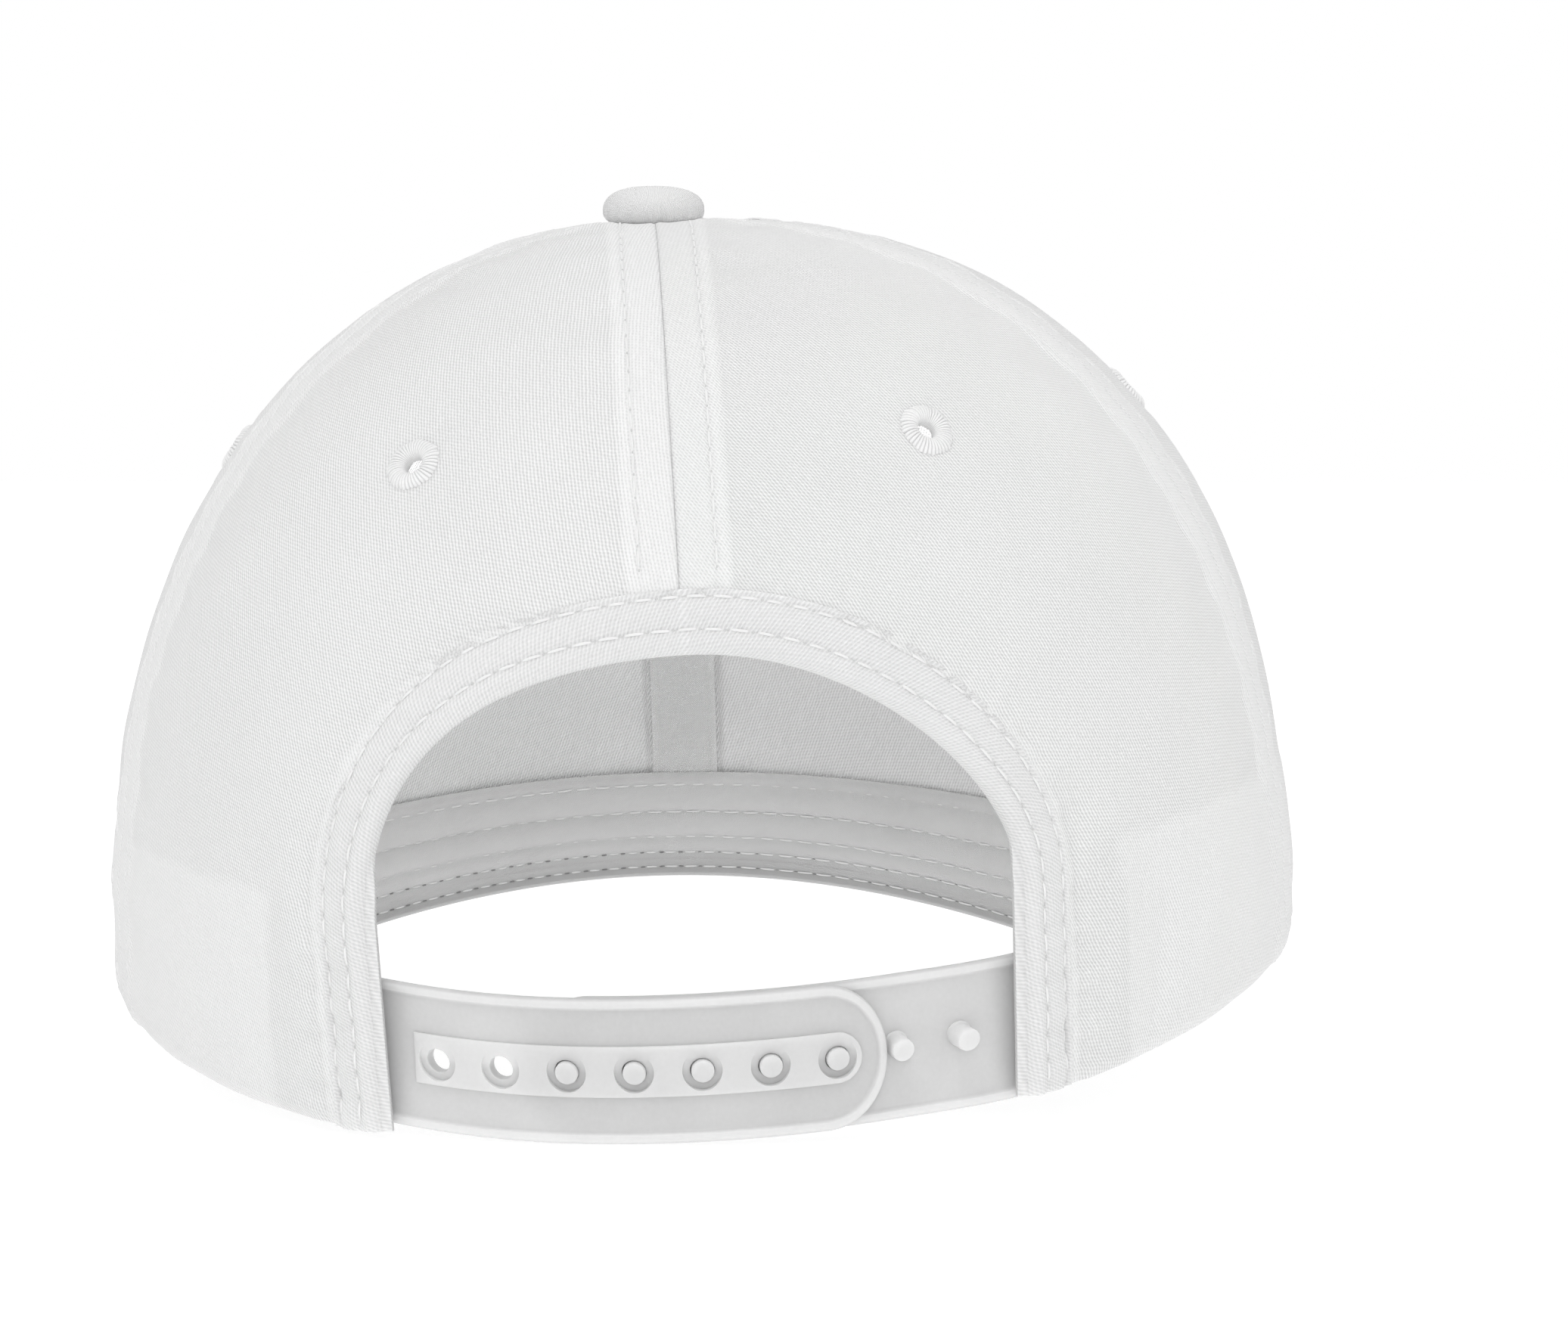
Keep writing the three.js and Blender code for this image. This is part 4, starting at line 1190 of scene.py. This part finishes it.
# stitch places, headings and surface sides along a row that placeAt gives for t from first to last
def sewAlong(placeAt, first, last, look, shift=0.0):
    t = np.linspace(first, last, 500)
    run = runLengths(placeAt(t)[0])
    centres = np.arange(look["pitch"] * (0.5 + shift), run[-1] - look["length"] / 2, look["pitch"])
    middle, before, after = (np.interp(centres + step * look["length"] / 2, run, t) for step in (0, -1, 1))
    heading = placeAt(after)[0] - placeAt(before)[0]
    places, normals = placeAt(middle)
    return places, heading / np.linalg.norm(heading, axis=1, keepdims=True), normals


def makeStitches(name, rows, look, material, slot="eyelet_thread"):
    places, headings, normals = (np.concatenate(part) for part in zip(*rows))
    across = np.cross(normals, headings)
    across /= np.linalg.norm(across, axis=1, keepdims=True)
    side = np.cross(headings, across)
    x, y, z = stitchShape.T
    chance = np.random.default_rng(11).uniform(-1, 1, (len(places), 2))
    lean = headings + across * chance[:, :1] * 0.04
    arch = look["thick"] * 0.9 * (1 - x * x) - look["thick"] * 0.75 * np.abs(x) ** 4 - look["sink"]
    points = places[:, None] + lean[:, None] * (x * look["length"] / 2)[None, :, None]
    points += across[:, None] * (y * look["thick"])[None, :, None]
    points += side[:, None] * (z * look["thick"] * 0.85 + arch)[None, :, None]
    count = len(stitchShape)
    faces = [tuple(corner + k * count for corner in face) for k in range(len(places)) for face in stitchFaces]
    mesh = bpy.data.meshes.new(name)
    mesh.from_pydata(toMetres(points).reshape(-1, 3).tolist(), [], faces)
    piece = bpy.data.objects.new(name, mesh)
    bpy.context.collection.objects.link(piece)
    closeNet(piece)
    print(name, len(places), "stitches")
    return finishPiece(piece, slot, material)


def panelSurface(name, sign, az, down):
    return overCrown(az, down, panelLift(name, sign, az, down)[0])


def seamRow(seam, panel, sign, aside):
    def placeAt(down):
        middle = seamAzimuth(seam, down)
        return panelSurface(panel, sign, sign * (middle + aside / mmPerDegree(middle, down)), down)
    return placeAt


crownRows, paleRows = [], []
topHole = archDown(opening["hem"] + 0.6)
seamSides = (
    ("back", "back", 1), ("rear", "back", -1), ("rear", "side", 1), ("fore", "side", -1), ("fore", "front", 1),
    ("front", "front", -1),
)
for sign in (1, -1):
    for seam, panel, aside in seamSides:
        last = topHole if seam == "back" else 0.992
        row = seamRow(seam, panel, sign, aside * panelLook["stitchFrom"])
        crownRows.append(sewAlong(row, downAtRadius(9.5), last, sewing["crown"]))
        if seam == "back":
            paleRows.append(sewAlong(row, downAtRadius(9.5), last, sewing["crown"], 0.5))
makeStitches("stitch_crown", crownRows, sewing["crown"], sewingThread)


def hemRow(out):
    shares, sides, run = alongHem(400)

    def placeAt(at):
        share = np.interp(at, run, np.where(run < 0, -shares, shares))
        side = np.where(at < 0, 1, -1)
        az, down = hemPlace(np.abs(share), side, hemOut(out, at))
        return overCrown(az, down, 0.42 + hemHeight(out, at) + 0.1 * np.sin(at / hemLook["ripple"]))
    return placeAt, run[0] + 1.0, run[-1] - 1.0


hemRows = [sewAlong(*hemRow(out), sewing["hem"]) for out in hemLook["rows"]]
makeStitches("stitch_hem", hemRows, sewing["hem"], sewingThread)
paleRows += [sewAlong(*hemRow(out), sewing["hem"], 0.5) for out in hemLook["rows"]]


def bandRow(level):
    def placeAt(az):
        points, normals = bandSurface(az, np.full_like(az, level))
        return points, -normals
    return placeAt


bandEnds = (band["end"] + 0.8, 359.2 - band["end"])
bandRows = [sewAlong(bandRow(level), *bandEnds, sewing["band"]) for level in bandLook["rows"]]
needleRows = [sewAlong(bandRow(level), *bandEnds, sewing["band"], 0.5) for level in bandLook["rows"]]
makeStitches("stitch_band", bandRows, sewing["band"], sewingThread)


def tapeRow(name, sign, aside):
    def placeAt(down):
        middle = seamAzimuth(name, down)
        az = sign * middle + aside / mmPerDegree(middle, down)
        points, normals = overCrown(az, down, tapeTuck(name, down) - tapeLook["inset"] - tapeLook["wall"] * 0.1)
        return points, -normals
    return placeAt


tapeRows = [
    sewAlong(tapeRow(name, sign, aside), downAtRadius(18), tapeEnd(name), sewing["tape"])
    for name, sign in (("back", 1), ("front", 1), ("rear", 1), ("rear", -1), ("fore", 1), ("fore", -1))
    for aside in (-tapeLook["stitchAt"], tapeLook["stitchAt"])
]
makeStitches("stitch_tape", tapeRows, sewing["tape"], sewingThread)


def peakRow(inward, above):
    x, y = boardOutline(np.linspace(-1, 1, 800))
    heading = np.stack([np.gradient(x), np.gradient(y)], -1)
    heading /= np.linalg.norm(heading, axis=1, keepdims=True)
    x, y = x - heading[:, 1] * inward, y + heading[:, 0] * inward
    outside = np.hypot(x / (crown["halfWidth"] + 1), y / (crown["halfLength"] + 1)) > 1
    keep = outside & (np.abs(x) < board["halfWidth"])
    x, y = x[keep], y[keep]
    shares = np.linspace(0, 1, len(x))

    def placeAt(t):
        px, py = np.interp(t, shares, x), np.interp(t, shares, y)
        normals = np.stack([px / board["curve"], np.zeros_like(px), np.ones_like(px)], -1) * above
        return peakSurface(px, py, above), normals / np.linalg.norm(normals, axis=1, keepdims=True)
    return placeAt


peakRows = [
    sewAlong(peakRow(row, above), 0.01, 0.99, sewing["peak"])
    for row in peakLook["stitchRows"] for above in (1, -1)
]
makeStitches("stitch_peak", peakRows, sewing["peak"], sewingThread)

# dark specks at the needle's holes between the stitches: painted shade, small dark stitches standing for the shadow
# in each hole
needleLook = {"length": 0.7, "thick": 0.13, "sink": 0.06}
makeStitches("painted_needle_shade_rim", needleRows[:2], {**needleLook, "length": 1.1}, needleShade)
makeStitches("painted_needle_shade_cloth", paleRows, needleLook, paleShade)
print("stitching done")


# studio
studio = {
    "sky": 1.0, "ambient": 0.74, "floor": grey(0.36), "floorGlow": 0.8, "aim": (0.0, 0.0, 0.06),
    "lights": (  # name, place, size and watts
        ("keyLight", (0.2, 0.6, 1.5), 0.5, 5.5), ("frontLight", (0.1, 1.8, 0.5), 0.5, 5.0),
        ("rimLight", (-1.1, 0.3, 0.9), 0.5, 0.8),
    ),
    "lining": ((0.02, 0.055, 0.066), (-0.01, -0.09, 0.035), 0.04, 0.003),  # a small lamp just inside the opening
    "behindEyelet": {"off": 25, "size": 0.008, "watts": 0.007},  # off: how far the lamp is from the lining, in mm
}


def behindEyelet(sign):  # a lamp for the patch of lining that shows through an eyelet at the back
    eye = np.array(bpy.context.scene.camera.location) * 1000 - origin
    hole = crownPoint(sign * eyelet["back"], eyelet["level"])
    sight = (hole - eye) / np.linalg.norm(hole - eye)
    az, down = np.meshgrid(np.linspace(-180, 180, 361), np.linspace(0.05, 1, 96))
    points = crownPoint(az, down).reshape(-1, 3)
    past = (points - hole) @ sight
    aside = np.linalg.norm(points - hole - past[:, None] * sight, axis=1)
    patch = points[np.argmin(np.where(past > 20, aside, np.inf))]
    look = studio["behindEyelet"]
    place = patch - sight * look["off"]
    return f"eyeletLight{sign}", toMetres(place), toMetres(patch), look["size"], look["watts"]


def addStudio():  # a wide pale floor, a white world behind it and soft lights
    clearSelection()
    bpy.ops.mesh.primitive_plane_add(size=8, location=(0, 0, -0.0004))
    floor = bpy.context.object
    floor.name = "studio_floor"
    material, _ = newFinish(
        "paleFloor", studio["floor"], 0.9, Specular_IOR_Level=0.1, Emission_Color=(1, 1, 1, 1),
        Emission_Strength=studio["floorGlow"],
    )
    floor.data.materials.append(material)
    world = bpy.data.worlds.new("studio")
    bpy.context.scene.world = world
    world.use_nodes = True
    world.node_tree.nodes["Background"].inputs[0].default_value = (1.0, 1.0, 1.0, 1)
    rays = world.node_tree.nodes.new("ShaderNodeLightPath")  # a white backdrop, and a dimmer glow from it
    level = world.node_tree.nodes.new("ShaderNodeMath")
    level.operation = "MULTIPLY_ADD"
    level.inputs[1].default_value = studio["sky"] - studio["ambient"]
    level.inputs[2].default_value = studio["ambient"]
    world.node_tree.links.new(rays.outputs["Is Camera Ray"], level.inputs[0])
    world.node_tree.links.new(level.outputs[0], world.node_tree.nodes["Background"].inputs[1])
    lamps = [(name, place, studio["aim"], size, watts) for name, place, size, watts in studio["lights"]]
    lamps += [("liningLight", *studio["lining"]), behindEyelet(1), behindEyelet(-1)]
    for name, place, aim, size, watts in lamps:
        bpy.ops.object.light_add(type="AREA", location=place)
        light = bpy.context.object
        light.name = name
        light.data.size = size
        light.data.energy = watts
        light.rotation_euler = (Vector(aim) - Vector(place)).to_track_quat("-Z", "Y").to_euler()
        light.visible_camera = False
    settings = bpy.context.scene.view_settings
    settings.view_transform = "Standard"
    settings.look = "None"


addStudio()
print("ready")
